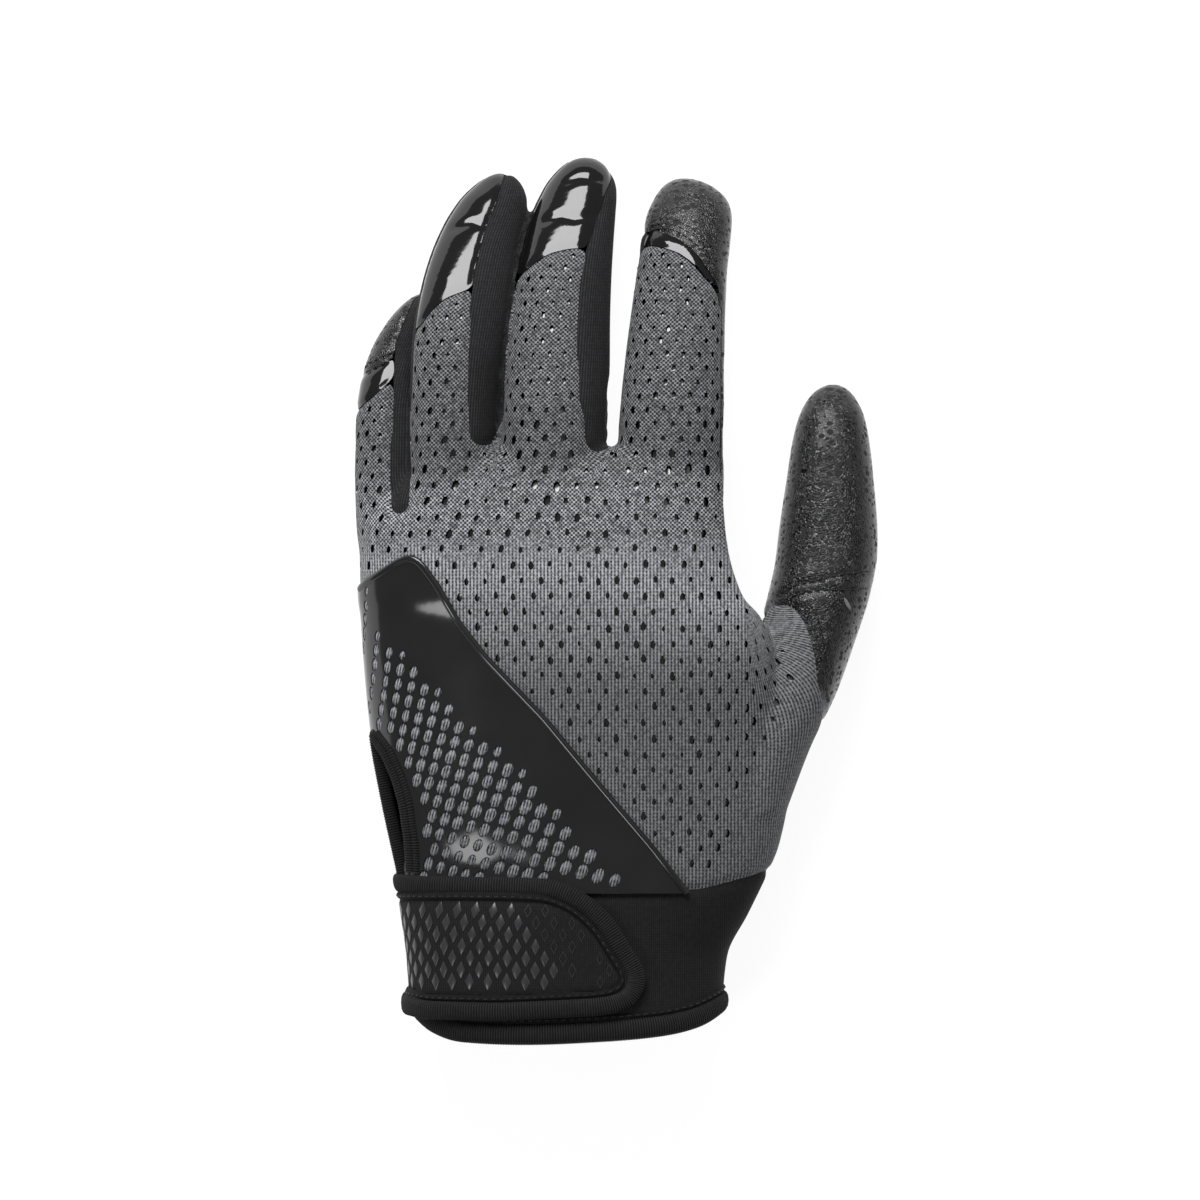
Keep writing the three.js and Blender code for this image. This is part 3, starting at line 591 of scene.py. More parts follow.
def line_distance(points, path):
    """Distance to a line of places seen from above."""
    x, y = points[:, 0], points[:, 1]
    best = np.full(len(points), 1e9)
    for (x0, y0), (x1, y1) in zip(path, path[1:]):
        dx, dy = x1 - x0, y1 - y0
        t = np.clip(((x - x0) * dx + (y - y0) * dy) / (dx * dx + dy * dy), 0, 1)
        best = np.minimum(best, np.hypot(x - x0 - t * dx, y - y0 - t * dy))
    return best


def plan_distance(points, outline):
    """Distance to an outline seen from above, negative inside it."""
    x, y = points[:, 0], points[:, 1]
    ring = outline + outline[:1]
    side = np.ones(len(points))
    for (x0, y0), (x1, y1) in zip(ring, ring[1:]):
        if y0 != y1:
            side[((y1 > y) != (y0 > y)) & (x < (x0 - x1) * (y - y1) / (y0 - y1) + x1)] *= -1
    return side * line_distance(points, ring)


def near_tree(points):
    """A tree that finds the nearest of the points."""
    tree = KDTree(len(points))
    for i, point in enumerate(points):
        tree.insert(point, i)
    tree.balance()
    return tree


def distance_to(points, targets, limit):
    """How far each point is from the nearest target, up to a limit."""
    tree = near_tree(targets)
    return np.array([min(tree.find(p)[2], limit) for p in points])


def limb_terms(rows, points):
    """How far each point is outside a finger's tube, its place across the finger's cloth, its place across
    and up as shares of the half width and half height."""
    y, x, z, wide, high = np.array(rows, float).T
    at = np.clip(points[:, 1], y[0], y[-1])
    half_wide = np.sqrt(np.maximum(through(y, wide ** 2, at), 0.01)) / 2
    half_high = np.sqrt(np.maximum(through(y, high ** 2, at), 0.01)) / 2
    u, v = (points[:, 0] - through(y, x, at)) / half_wide, (points[:, 2] - through(y, z, at)) / half_high
    out = (np.abs(u) ** FINGER_POWER + np.abs(v) ** FINGER_POWER) ** (1 / FINGER_POWER)
    beyond = np.abs(points[:, 1] - at)
    around = np.arctan2(u, v) * (half_wide + half_high) / 2
    return np.abs(out - 1) * half_wide + beyond, around, u, v


# %% Cuts
def clip(points, triangles, field, extra=None):
    """The part of a triangle mesh where field is below 0, cut exactly along the line where it is 0."""
    field = np.where(np.abs(field) < 1e-4, -1e-4, field)
    below = field[triangles] < 0
    number = below.sum(1)
    columns = points if extra is None else np.column_stack([points, extra])
    made, new = [], []
    # one corner below leaves a triangle, and two leave a four-sided piece
    for odd_below, group in ((True, triangles[number == 1]), (False, triangles[number == 2])):
        sides = field[group] < 0
        odd = np.argmax(sides == odd_below, axis=1)
        rows = np.arange(len(group))
        a, b, c = (group[rows, (odd + k) % 3] for k in range(3))
        for far in (b, c):
            t = (field[a] / (field[a] - field[far]))[:, None]
            new.append((np.minimum(a, far), np.maximum(a, far), columns[a] + t * (columns[far] - columns[a])))
        made.append((a, b, c))
    low, high, values = (np.concatenate(kind) for kind in zip(*new))
    # two triangles share the cut of their common edge
    edge_number = low.astype(np.int64) * len(points) + high
    _, first, inverse = np.unique(edge_number, return_index=True, return_inverse=True)
    cuts = inverse.ravel() + len(points)
    sizes = np.cumsum([0] + [len(n[0]) for n in new])
    ab1, ac1, ab2, ac2 = (cuts[sizes[k]:sizes[k + 1]] for k in range(4))
    (a1, _, _), (_, b2, c2) = made
    faces = np.concatenate([triangles[number == 3], np.column_stack([a1, ab1, ac1]),
                            np.column_stack([ab2, b2, c2]), np.column_stack([ab2, c2, ac2])])
    columns = np.concatenate([columns, values[first]])
    used, faces = np.unique(faces, return_inverse=True)
    faces = faces.reshape(-1, 3)
    columns = columns[used]
    return columns[:, :3], faces, columns[:, 3:]


def border(triangles):
    """Directed edges that belong to one triangle only."""
    pairs = np.concatenate([triangles[:, [0, 1]], triangles[:, [1, 2]], triangles[:, [2, 0]]])
    keys = np.sort(pairs, axis=1)
    _, inverse, number = np.unique(keys, axis=0, return_inverse=True, return_counts=True)
    return pairs[number[inverse.ravel()] == 1]


# %% [markdown]
# ### Seams that the nodes leave rough
# The solids are coarser than a sewn seam, and in a few places the nearest one isn't what a tailor would cut.
# There the distances are moved towards a line that is drawn here: the round lower ends of the gussets, the
# thumb's seam on the back, the sides of the index and ring fingers, and the fingertips' right sides.

# %% Lines of the corrected seams
# x, y of the middle of each gusset's round lower end, its half width, and how far up its edges are set
GUSSET_ENDS = {"fourchette_index_middle": (-4.3, 37.9, 3.0, 9), "fourchette_middle_ring": (-31.7, 39.4, 3.3, 9),
               "fourchette_ring_pinky": (-52.0, 22.1, 2.25, 28)}
THUMB_TOP = [(30, -1.9), (36.8, -2), (41.2, -1.8), (43.2, -3.5), (44.9, -6), (46.1, -9), (47, -12.5), (47.8, -16.5),
             (48.4, -20.9), (49.1, -25), (49.9, -31), (90, -31), (90, 70), (30, 70)]
# by finger: the gusset on its right, its film, the y where its line begins, and the x, y of that line; all that
# lies right of the line, up to the next finger, is gusset
TIP_LINES = {
    "pinky": ("fourchette_ring_pinky", "film_strip_pinky", 36,
              [(-52.6, 34), (-52.7, 37.7), (-53.5, 52), (-53.1, 60.5), (-51.7, 65.3), (-49.6, 70), (-48.6, 73),
               (-47.6, 77), (-30, 77), (-30, 34)]),
    "ring": ("fourchette_middle_ring", "fingertip_film_ring", 73,
             [(-35.3, 70), (-34.3, 74.9), (-33.8, 79), (-32.9, 82.3), (-31.8, 86.6), (-30.5, 90.7), (-28.8, 93.7),
              (-27.7, 97.7), (-26.8, 100.7), (-26, 106), (-15, 106), (-15, 70)]),
    "middle": ("fourchette_index_middle", "fingertip_film_middle", 79,
               [(-7.4, 70), (-6.8, 76), (-6.4, 81.6), (-6.4, 83.8), (-6, 86.7), (-4.6, 90), (-3.1, 95.2),
                (-1.3, 100.3), (-0.5, 101.6), (1, 108), (8, 108), (8, 70)]),
}
# panel, side of the index finger, how high it reaches there in half heights, and from y to y
INDEX_SIDES = [("fourchette_index_middle", -1, 0.05, 38, 84), ("palm_leather_panel", 1, 0.35, 12, 70)]
ON_FINGER = 3             # mm; a point nearer than this to a finger's tube is on the finger
print("drawn seams:", len(GUSSET_ENDS) + 1 + len(INDEX_SIDES) + len(TIP_LINES))

# %% Draw the seams
def shift(owned, near, name, value, weight):
    """Moves the distances to a panel towards a value."""
    column = PANELS.index(name)
    owned[near, column] = weight * value + (1 - weight) * owned[near, column]


def hold_off(owned, near, name, value):
    """Makes the distances to a panel at least the value."""
    column = PANELS.index(name)
    owned[near, column] = np.maximum(owned[near, column], value)


def round_gussets(owned):
    """Gives each gusset a round lower end."""
    x, y, z = skin.T
    for name, (cx, cy, half, reach) in GUSSET_ENDS.items():
        near = (np.abs(x - cx) < half + 5) & (y < cy + reach) & (y > cy - 12) & (z > 10)
        out = np.hypot(x[near] - cx, np.minimum(y[near] - cy, 0)) - half
        weight = smooth(cy + reach, cy + reach - 6, y[near]) * smooth(10, 15, z[near])
        shift(owned, near, name, np.maximum(out, 0), weight)
        shift(owned, near, "back_mesh_panel", np.maximum(-out, 0), weight)


# %% Draw the seam of the thumb
def draw_thumb_seam(owned):
    """Lets the thumb's leather begin at its line on the back."""
    x, y, z = skin.T
    near = (x > 33) & (y < 8) & (y > -27) & (z > 8)
    out = plan_distance(skin[near], THUMB_TOP)
    weight = (smooth(33, 36, x[near]) * smooth(8, 4, y[near])
              * smooth(-27, -21, y[near]) * smooth(8, 13, z[near]))
    shift(owned, near, "thumb_leather", np.maximum(out, 0), weight)
    shift(owned, near, "back_mesh_panel", np.maximum(-out, 0), weight)
    shift(owned, near, "palm_leather_panel", 5.0, weight)


def widen_index_knit(owned, terms):
    """Lets the index finger's knit reach down to its sides."""
    y = skin[:, 1]
    gap, _, u, v = terms["index"]
    for name, side, level, start, end in INDEX_SIDES:
        chosen = (gap < ON_FINGER) & (u * side > 0) & (y > start) & (y < end)
        above = 25 * (v - level) * smooth(start, start + 8, y) * smooth(end, end - 6, y)
        hold_off(owned, chosen, name, owned[chosen, PANELS.index("back_mesh_panel")] + above[chosen])


def raise_ring_gusset(owned, terms):
    """Keeps the ring finger's gusset up to the middle finger."""
    y = skin[:, 1]
    gap, _, u, _ = terms["ring"]
    chosen = (gap < terms["middle"][0]) & (u > 0.6) & (y > 42) & (y < 80)
    gusset = PANELS.index("fourchette_middle_ring")
    owned[chosen, gusset] = np.minimum(owned[chosen, gusset], 3.0)
    hold_off(owned, chosen, "back_mesh_panel", owned[chosen, gusset] + 12 * (u[chosen] - 0.68))


def draw_tip_lines(owned, terms):
    """Draws the line between each fingertip and the gusset on its right, where film comes up to it."""
    y = skin[:, 1]
    for finger, (gusset, film, begin, outline) in TIP_LINES.items():
        gap, _, _, v = terms[finger]
        others = np.min([terms[name][0] for name in FINGERS if name != finger], axis=0)
        near = (gap < others) & (gap < ON_FINGER) & (y > begin)
        out = plan_distance(skin[near], outline)
        weight = smooth(-0.35, 0.05, v[near]) * smooth(begin, begin + 6, y[near])
        shift(owned, near, gusset, np.maximum(out, 0), weight)
        for name in ("back_mesh_panel", "palm_leather_panel", film):
            hold_off(owned, near, name, weight * -out)
        if finger != "pinky":
            column = PANELS.index(film)
            beside = near.copy()
            beside[near] = ((out > 0) & (out < 2.5) & (y[near] > begin + 6) & (v[near] > 0.1)
                            & (owned[near, column] < 3))
            owned[beside, column] = 0.0


# %% Who owns each point
SOFTENING = 6             # rounds that smooth the seams
owned = node_distances(skin, PANELS)
limbs = {name: limb_terms(rows, skin) for name, rows in FINGERS.items()}
round_gussets(owned)
draw_thumb_seam(owned)
widen_index_knit(owned, limbs)
raise_ring_gusset(owned, limbs)
draw_tip_lines(owned, limbs)
fields = {}
for column, name in enumerate(PANELS):
    others = np.delete(owned, column, axis=1).min(1)
    value = np.where(owned[:, column] > NEAR_ENOUGH, 4.0, np.clip(owned[:, column] - others, -4, 4))
    for _ in range(SOFTENING):
        value = 0.4 * value + 0.6 * neighbour_mean(value, skin_edges)
    fields[name] = value
print("points of each panel:", {name: int((value < 0).sum()) for name, value in fields.items()})

# %% [markdown]
# ### The fabric's own map
# A knit has a direction. Across the fabric runs the first coordinate, in metres of cloth, and along it the
# second. On a finger they follow its length; on the hand they run straight down; and round the web of the
# thumb the ribs fan out from the crotch, as they do when the cloth is pulled over it.

# %% Map across and along the cloth
THUMB_CROTCH = (31.0, -3.0)
LITTLE_SIDE = -42.0       # left of this x the cloth's width follows the side
FAN_RADIUS = 25.0         # where the fan's ribs have their own pitch
CREST_ROWS = np.linspace(-72, -6, 23)
CREST = {x: [drop(x, y)[0][2] for y in CREST_ROWS] for x in (THUMB_CROTCH[0], LITTLE_SIDE)}
ROOTS = {"index": 13.0, "middle": -15.0, "ring": -39.4, "pinky": -54.6, "thumb": 50.0}


def fall_from(x, points):
    """How far the cloth has gone down from its height on a line that runs up the hand at x."""
    return np.maximum(np.interp(points[:, 1], CREST_ROWS, CREST[x]) - points[:, 2], 0)


def cloth_map(points):
    """Across and along the cloth, in mm, and which finger each point is on."""
    x, y = points[:, 0], points[:, 1]
    right, left = THUMB_CROTCH[0], LITTLE_SIDE
    sx = np.where(x > right, np.hypot(x - right, fall_from(right, points)), 0)
    depth = THUMB_CROTCH[1] - y
    reach = np.hypot(sx, depth)
    angle = np.arctan2(sx, depth)
    far = smooth(10, 46, reach)
    fan = THUMB_CROTCH[0] + (1 - far) * FAN_RADIUS * angle + far * sx
    side = left - np.hypot(x - left, fall_from(left, points))
    across = np.where(x > right, fan, np.where(x < left, side, x))
    along = np.where(x > THUMB_CROTCH[0], (1 - far) * (THUMB_CROTCH[1] - reach) + far * y, y)
    names = list(ROOTS)
    terms = [limb_terms(FINGERS[name], points) for name in names]
    gap = np.column_stack([t[0] for t in terms])
    nearest = gap.argmin(1)
    starts = np.array([24.0, 24.0, 24.0, 12.0, 12.0])[nearest]
    on_finger = smooth(starts, starts + 14, y) * (gap.min(1) < ON_FINGER)
    turned = np.column_stack([ROOTS[name] + t[1] for name, t in zip(names, terms)])
    around = turned[np.arange(len(points)), nearest]
    across = (1 - on_finger) * across + on_finger * around
    return across, along, np.where(on_finger > 0.5, nearest, -1)


skin_across, skin_along, _ = cloth_map(skin)
print("cloth map, across:", skin_across.min().round(1), "to", skin_across.max().round(1))

# %% [markdown]
# ### Sewing a panel
# At a seam the cloth rolls inwards, so every panel dips over the last millimetre and a half and meets its
# neighbour in a valley. The wall is then given its thickness inwards with Solidify, which also closes the
# rim. A piece is finished when it rides on the root body and stands for its CAD node.

# %% Panel maker
SEAM_DEPTH = 0.6          # mm
SEAM_REACH = 1.15
SHARP = math.radians(50)
# each piece's finish and the record's slot that it stands for
FINISHES = {name: (material, slot) for material, slot, names in [
    (KNIT, "knit_mesh", ["back_mesh_panel"]),
    (LEATHER, "palm_leather", ["palm_leather_panel", "thumb_leather"]),
    (RIB_KNIT, "ribbed_knit", [name for name in PANELS if "fourchette" in name]),
    (PATENT, "patent_film", [name for name in PANELS if "film" in name]),
    (NEOPRENE, "neoprene", ["wrist_cuff"]),
    (OVERLAY, "overlay_film", ["side_overlay"]), (STRAP_CLOTH, "strap_face", ["wrist_strap"]),
    (TAPE, "binding_tape", ["strap_binding", "cuff_hem_binding", "vent_binding"])] for name in names}


def finished(name, *meshes):
    """Joins the meshes of a piece, rides it on the root and lets it stand for the CAD node of its name."""
    material, slot = FINISHES[name]
    items = [show(bpy.data.objects.new("dressed_" + name, mesh)) for mesh in meshes]
    if len(items) > 1:
        chosen = {"active_object": items[0], "selected_editable_objects": items, "selected_objects": items}
        with bpy.context.temp_override(**chosen):
            bpy.ops.object.join()
    piece, mesh = items[0], items[0].data
    mesh.name = "dressed_" + name
    if not mesh.materials:
        mesh.materials.append(material)
    mesh.polygons.foreach_set("use_smooth", [True] * len(mesh.polygons))
    mesh.set_sharp_from_angle(angle=SHARP)
    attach(piece, "root")
    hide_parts(name)
    mesh.calc_loop_triangles()
    print(name, "triangles:", len(mesh.loop_triangles))


def with_map(mesh, across, along):
    """Stores the cloth's map on a mesh, in metres."""
    layer = mesh.uv_layers.new(name="fabric")
    corner = np.empty(len(mesh.loops), np.int32)
    mesh.loops.foreach_get("vertex_index", corner)
    layer.data.foreach_set("uv", (np.column_stack([across, along])[corner] * MM).ravel())


def walled(points, faces, across, along, thickness, material, outward=False):
    """A closed wall from an open patch of surface."""
    mesh = mesh_from("patch", points, faces)
    with_map(mesh, across, along)
    mesh.materials.append(material)
    return changed(mesh, "SOLIDIFY", thickness=thickness * MM, offset=1.0 if outward else -1.0,
                   use_quality_normals=True)


def cut_patch(field):
    """The skin where field is below 0, with its normals and cloth map."""
    extra = np.column_stack([skin_normals, skin_across, skin_along])
    points, faces, columns = clip(skin, skin_faces, field, extra)
    normals = columns[:, :3] / np.linalg.norm(columns[:, :3], axis=1)[:, None]
    return points, faces, normals, columns[:, 3], columns[:, 4]


def seam_distance(points, faces, limit=4.0):
    """How far each point of a patch is from its border, up to a limit."""
    rim = border(faces)
    targets = np.concatenate([points[rim[:, 0]], points[rim].mean(1)])
    return distance_to(points, targets, limit)


print("pieces to finish:", len(FINISHES))

# %% [markdown]
# ### The panels themselves
# The palm, the thumb, the gussets and the film patches are each cut, dipped at their seams and given a wall.
# The vent at the little-finger side is a slit in the back, and the cuff ends at the hem.

# %% Outlines seen from above, in mm
HEM_LINE = [(-60, -97), (-48.6, -100.2), (-44.5, -103.4), (-38, -105.6), (-22, -106.2), (-4, -105.5),
            (10.3, -104.3), (18.8, -102.6), (24.6, -99.6), (28, -96), (40, -84)]
OVERLAY_EDGE = [(-70, -3), (-61.2, 2.4), (-55.7, 6.8), (-52.2, 9), (-50.2, 9.9), (-48.4, 10), (-46.8, 9.2),
                (-45.2, 7.4), (-42, 3), (-37.2, -5.4), (-30.5, -14.1), (-17, -28.2), (-4.1, -43.8), (9.1, -59.4),
                (17.6, -70.6), (-70, -70.6)]
WINDOW_FIELD = [(-66, 4.4), (-58.6, 3.4), (-57.4, -7), (-53.4, -11), (-47.2, -16.4), (-42.2, -22), (-37.6, -28),
                (-31.6, -33.1), (-25.6, -38.6), (-19.4, -44.6), (-17, -48.2), (-11.4, -54), (-5.6, -60),
                (0, -65.8), (2.4, -70), (-70, -70)]
# the slit itself, and where the film ends beside it
VENT = [(-59.4, -34.6), (-56.2, -39.4), (-53.4, -44.8), (-52, -51), (-51, -57.5), (-50.4, -63.6),
        (-51.6, -63.6), (-53.6, -60), (-54.8, -54), (-56.4, -46.4), (-58.6, -39)]
VENT_EDGE = [(-60.6, -30.4), (-57, -31.8), (-54.8, -33.8), (-51.8, -38.1), (-49.3, -43), (-48.1, -48.5),
             (-47.4, -55), (-47.2, -72), (-70, -72), (-70, -30.4)]
# the strap's tongue on the back, and its tail below
STRAP_EDGE = [(-70, -66.4), (-52.2, -66.6), (-45.2, -67.3), (-16.2, -67.5), (-11.5, -68.9), (-8, -70.6),
              (-4.2, -73.6), (-1, -77), (5.3, -87.5), (6.4, -90.6), (5.8, -94.2), (3.6, -97), (0, -98.6),
              (-4.6, -99.4), (-27.8, -100.6), (-44.2, -100.4), (-52, -98.6), (-70, -98.6)]
TAIL_EDGE = [(-90, -66.4), (-14, -66.4), (-14, -98.6), (-90, -98.6)]
WRIST_MIDDLE, SIDE_SEAM, VENT_FLOOR = 20.0, 14.6, 8.0     # heights
hem_x, hem_y = np.array(HEM_LINE).T
past_hem = through(hem_x, hem_y, np.clip(skin[:, 0], -60, 40)) - skin[:, 1]
vent = plan_distance(skin, VENT)
fields["wrist_cuff"] = np.maximum(fields["wrist_cuff"], past_hem)
fields["back_mesh_panel"] = np.maximum(fields["back_mesh_panel"],
                                       np.where(skin[:, 2] > VENT_FLOOR, -vent, -5.0))
print("points past the hem:", int((past_hem > 0).sum()), "in the vent:", int((vent < 0).sum()))

# %% Stitch lines and creases, seen from above
THUMB_SEAMS = [[(38.4, 0.2), (42.7, 3.0), (47.5, 3.9), (54, 5.5), (60.4, 6.2)],
               [(42.2, 0.3), (47.5, 1.7), (54, 1.7), (60, 2.0)],
               [(44.9, -2.4), (46.8, -6.5), (48.7, -12.5), (49.8, -20.9), (50.4, -25)],
               [(47.4, -3.4), (49, -8), (50.3, -14), (51, -19)]]
CAP_SEAMS = [[(8.2, 88.2), (12.8, 88.4), (15.6, 87.2), (18.4, 85.1), (20.8, 83), (23, 80.1)],
             [(8.4, 89.4), (13, 89.6), (16.2, 88.2), (19.2, 86), (21.8, 83.6), (24, 80.6)],
             [(9, 90.6), (13.2, 90.8), (16.8, 89.3), (20, 86.9), (22.8, 84.2)],
             [(-60.4, 55.4), (-57.4, 57.2), (-54, 58.8)], [(-60, 54), (-57, 55.8), (-53.8, 57.5)]]
SEWN_DIP, CREASE_DIP = (0.35, 0.75), (0.28, 1.15)         # depth and reach
# the film buckles a little where the fingertip bends
FILM_CREASES = {"fingertip_film_middle": [[(-17, 90.4), (-13, 91.4), (-10, 90.8), (-5, 91.8)],
                                          [(-12, 99.8), (-9, 100.8), (-4, 100.6)]],
                "fingertip_film_ring": [[(-39, 88.6), (-35, 89.9), (-32, 89.3), (-28, 90.6)]]}
print("stitch lines:", len(THUMB_SEAMS) + len(CAP_SEAMS), "creased films:", len(FILM_CREASES))

# %% Cut, dip and wall the panels
PANEL_WALL, CUFF_WALL, KNIT_WALL = 1.3, 2.1, 1.35        # mm
SHALLOW = {"palm_leather_panel": 0.4, **{name: 0.3 for name in PANELS if "film" in name}}


def dipped(points, normals, near, depth=SEAM_DEPTH, reach=SEAM_REACH):
    """Points near a seam, moved down into its valley."""
    return points - normals * (depth * np.exp(-(near / reach) ** 2))[:, None]


def beside_lines(points, lines):
    """The distance from each point of the upper side to the nearest of the lines, seen from above."""
    return np.where(points[:, 2] > 8, np.min([line_distance(points, line) for line in lines], axis=0), 1e9)


patches = {name: cut_patch(fields[name]) for name in PANELS}
near_seam = {name: seam_distance(patch[0], patch[1]) for name, patch in patches.items()}
leather_walls = {}
for name in PANELS[1:]:
    points, faces, normals, across, along = patches[name]
    low = dipped(points, normals, near_seam[name], SHALLOW.get(name, SEAM_DEPTH))
    if name == "thumb_leather":
        low = dipped(low, normals, beside_lines(low, THUMB_SEAMS), *SEWN_DIP)
    if name in FILM_CREASES:
        low = dipped(low, normals, beside_lines(low, FILM_CREASES[name]), *CREASE_DIP)
    wall = CUFF_WALL if name == "wrist_cuff" else PANEL_WALL
    mesh = walled(low, faces, across, along, wall, FINISHES[name][0])
    if "leather" in name:
        leather_walls[name] = mesh        # these wait for their stitches
    else:
        finished(name, mesh)

# %% [markdown]
# ## Eyelets in the knit
# The knit is pierced with small drop-shaped eyelets in staggered rows, and a black lining shines behind
# them. Drawing dots in the material would leave the surface smooth, so real pockets are cut: Geometry Nodes
# puts one tapered cutter on each point of a row, turned to the cloth and sized by its own values, and a
# Boolean takes them all out of the wall at once. The pockets keep the lining's black film on their floor.

# %% Rows of eyelets on the cloth
SEED = 7
random = np.random.default_rng(SEED)
HAND_PITCH, EYELET = (4.4, 3.76), (1.3, 2.1)      # mm across and along
EYELET_LIMIT = [(34, -3), (36, -4), (39.5, -8.2), (43.6, -16.6), (43.4, -19.4), (40.9, -23.8), (39, -31.2),
                (34.9, -38.2), (31.3, -45.6), (27.7, -53.8), (24.4, -62.4), (23, -66.5), (-70, -66.5), (-70, 95),
                (34, 95)]
KNUCKLES = [(17.6, 30.5), (-17.2, 29.3), (-42.4, 23.3)]
WEBS = [(-1.6, 28), (-30, 28)]
# the rows of each finger, from y to y
FINGER_ROWS = {"index": (34, 88), "middle": (34, 86), "ring": (34, 78), "pinky": (22, 54)}
CLEAR_OF_NEXT, CLEAR_OF_FILM, CLEAR_OF_SEAM = 2.1, 1.2, 1.9
# a place is fitted from at most and at least so many points of the surface
MOST_POINTS, LEAST_POINTS = 9, 6
# how near the map's nearest point, the points of one fit and the fitted place must be
MAP_REACH, POINT_REACH, FIT_REACH = 0.9, 4.0, 1.5


def nearest_frames(points, normals, across, along, wanted):
    """For places on the cloth's map: the surface point, its normal, the direction along the cloth and the
    stretch across it. A place that the cloth doesn't reach gives nothing."""
    tree = near_tree([(u, v, 0) for u, v in zip(across, along)])
    found = []
    for u, v in wanted:
        near = tree.find_n((u, v, 0), MOST_POINTS)
        if not near or near[0][2] > MAP_REACH:
            continue
        rows = [n[1] for n in near]
        rows = [i for i in rows if np.linalg.norm(points[i] - points[rows[0]]) < POINT_REACH]
        if len(rows) < LEAST_POINTS:
            continue
        design = np.column_stack([np.ones(len(rows)), across[rows] - u, along[rows] - v])
        fit = np.linalg.lstsq(design, points[rows], rcond=None)[0]
        if np.linalg.norm(fit[0] - points[rows[0]]) > FIT_REACH:
            continue
        normal = normals[rows].mean(0)
        found.append((fit[0], normal / np.linalg.norm(normal), fit[2] / max(np.linalg.norm(fit[2]), 1e-6),
                      np.linalg.norm(fit[1])))
    return found


# %% Places of the eyelets
def hand_lattice():
    """Staggered rows on the hand, each place shifted a little."""
    wide, tall = HAND_PITCH
    places = [(i * wide + (j % 2) * wide / 2, 34.0 - j * tall) for j in range(28) for i in range(-16, 18)]
    shifts = random.uniform(-0.34, 0.34, (len(places), 2))
    return [(x * (1 + 0.1 * smooth(-5, 30, y)) + dx, y + dy) for (x, y), (dx, dy) in zip(places, shifts)]


def finger_lattice(root, start, end):
    """Rows that draw closer towards the fingertip."""
    places, y, j = [], start, 0
    while y < end:
        share = (y - start) / (end - start)
        wide, tall = 4.1 - 1.1 * share, 3.6 - 0.9 * share
        places += [(root + (i + 0.5 * (j % 2)) * wide + random.uniform(-0.2, 0.2),
                    y + random.uniform(-0.25, 0.25)) for i in range(-5, 6)]
        y += tall
        j += 1
    return places


def eyelet_sites():
    """Place, normal, direction along the cloth and stretch of each eyelet clear of seams and of others."""
    points, _, normals, across, along = patches["back_mesh_panel"]
    limb = cloth_map(points)[2]
    tree = near_tree(points)
    groups = [(limb == -1, hand_lattice())]
    groups += [(limb == k, finger_lattice(ROOTS[name], *ends))
               for k, (name, ends) in enumerate(FINGER_ROWS.items())]
    sites = [site for chosen, wanted in groups
             for site in nearest_frames(points[chosen], normals[chosen], across[chosen], along[chosen], wanted)]
    places = np.array([site[0] for site in sites])
    allowed = plan_distance(places, EYELET_LIMIT) < 0
    allowed &= plan_distance(places, OVERLAY_EDGE) > CLEAR_OF_FILM
    allowed &= near_seam["back_mesh_panel"][[tree.find(place)[1] for place in places]] > CLEAR_OF_SEAM
    kept = []
    for site, fine in zip(sites, allowed):
        if fine and all(np.linalg.norm(site[0] - other[0]) > CLEAR_OF_NEXT for other in kept[-400:]):
            kept.append(site)
    return kept


def eyelet_size(place, stretch):
    """Width and length: large over the knuckles, small beside the webs and towards the fingertips."""
    x, y = place[:2]
    size = 0.94 - 0.2 * smooth(38, 56, y)
    size += sum(0.42 * math.exp(-((x - a) ** 2 + (y - b) ** 2) / 90) for a, b in KNUCKLES)
    size -= sum(0.38 * math.exp(-((x - a) ** 2 + (y - b) ** 2) / 40) for a, b in WEBS)
    size *= random.uniform(0.66, 1.2)
    return EYELET[0] * size * min(stretch, 1.0), EYELET[1] * size


sites = eyelet_sites()
print("eyelets:", len(sites))

# %% [markdown]
# ### Geometry Nodes that stand parts on points
# One maker builds two trees. The first stands a part on every given point, turned and sized by the point's own
# values, and serves the eyelets, the windows and the lozenges. The second turns a line into a curve,
# resamples it and stands a part on it at an even pitch, for ribs and stitches. Both make the copies real and
# give them a material.

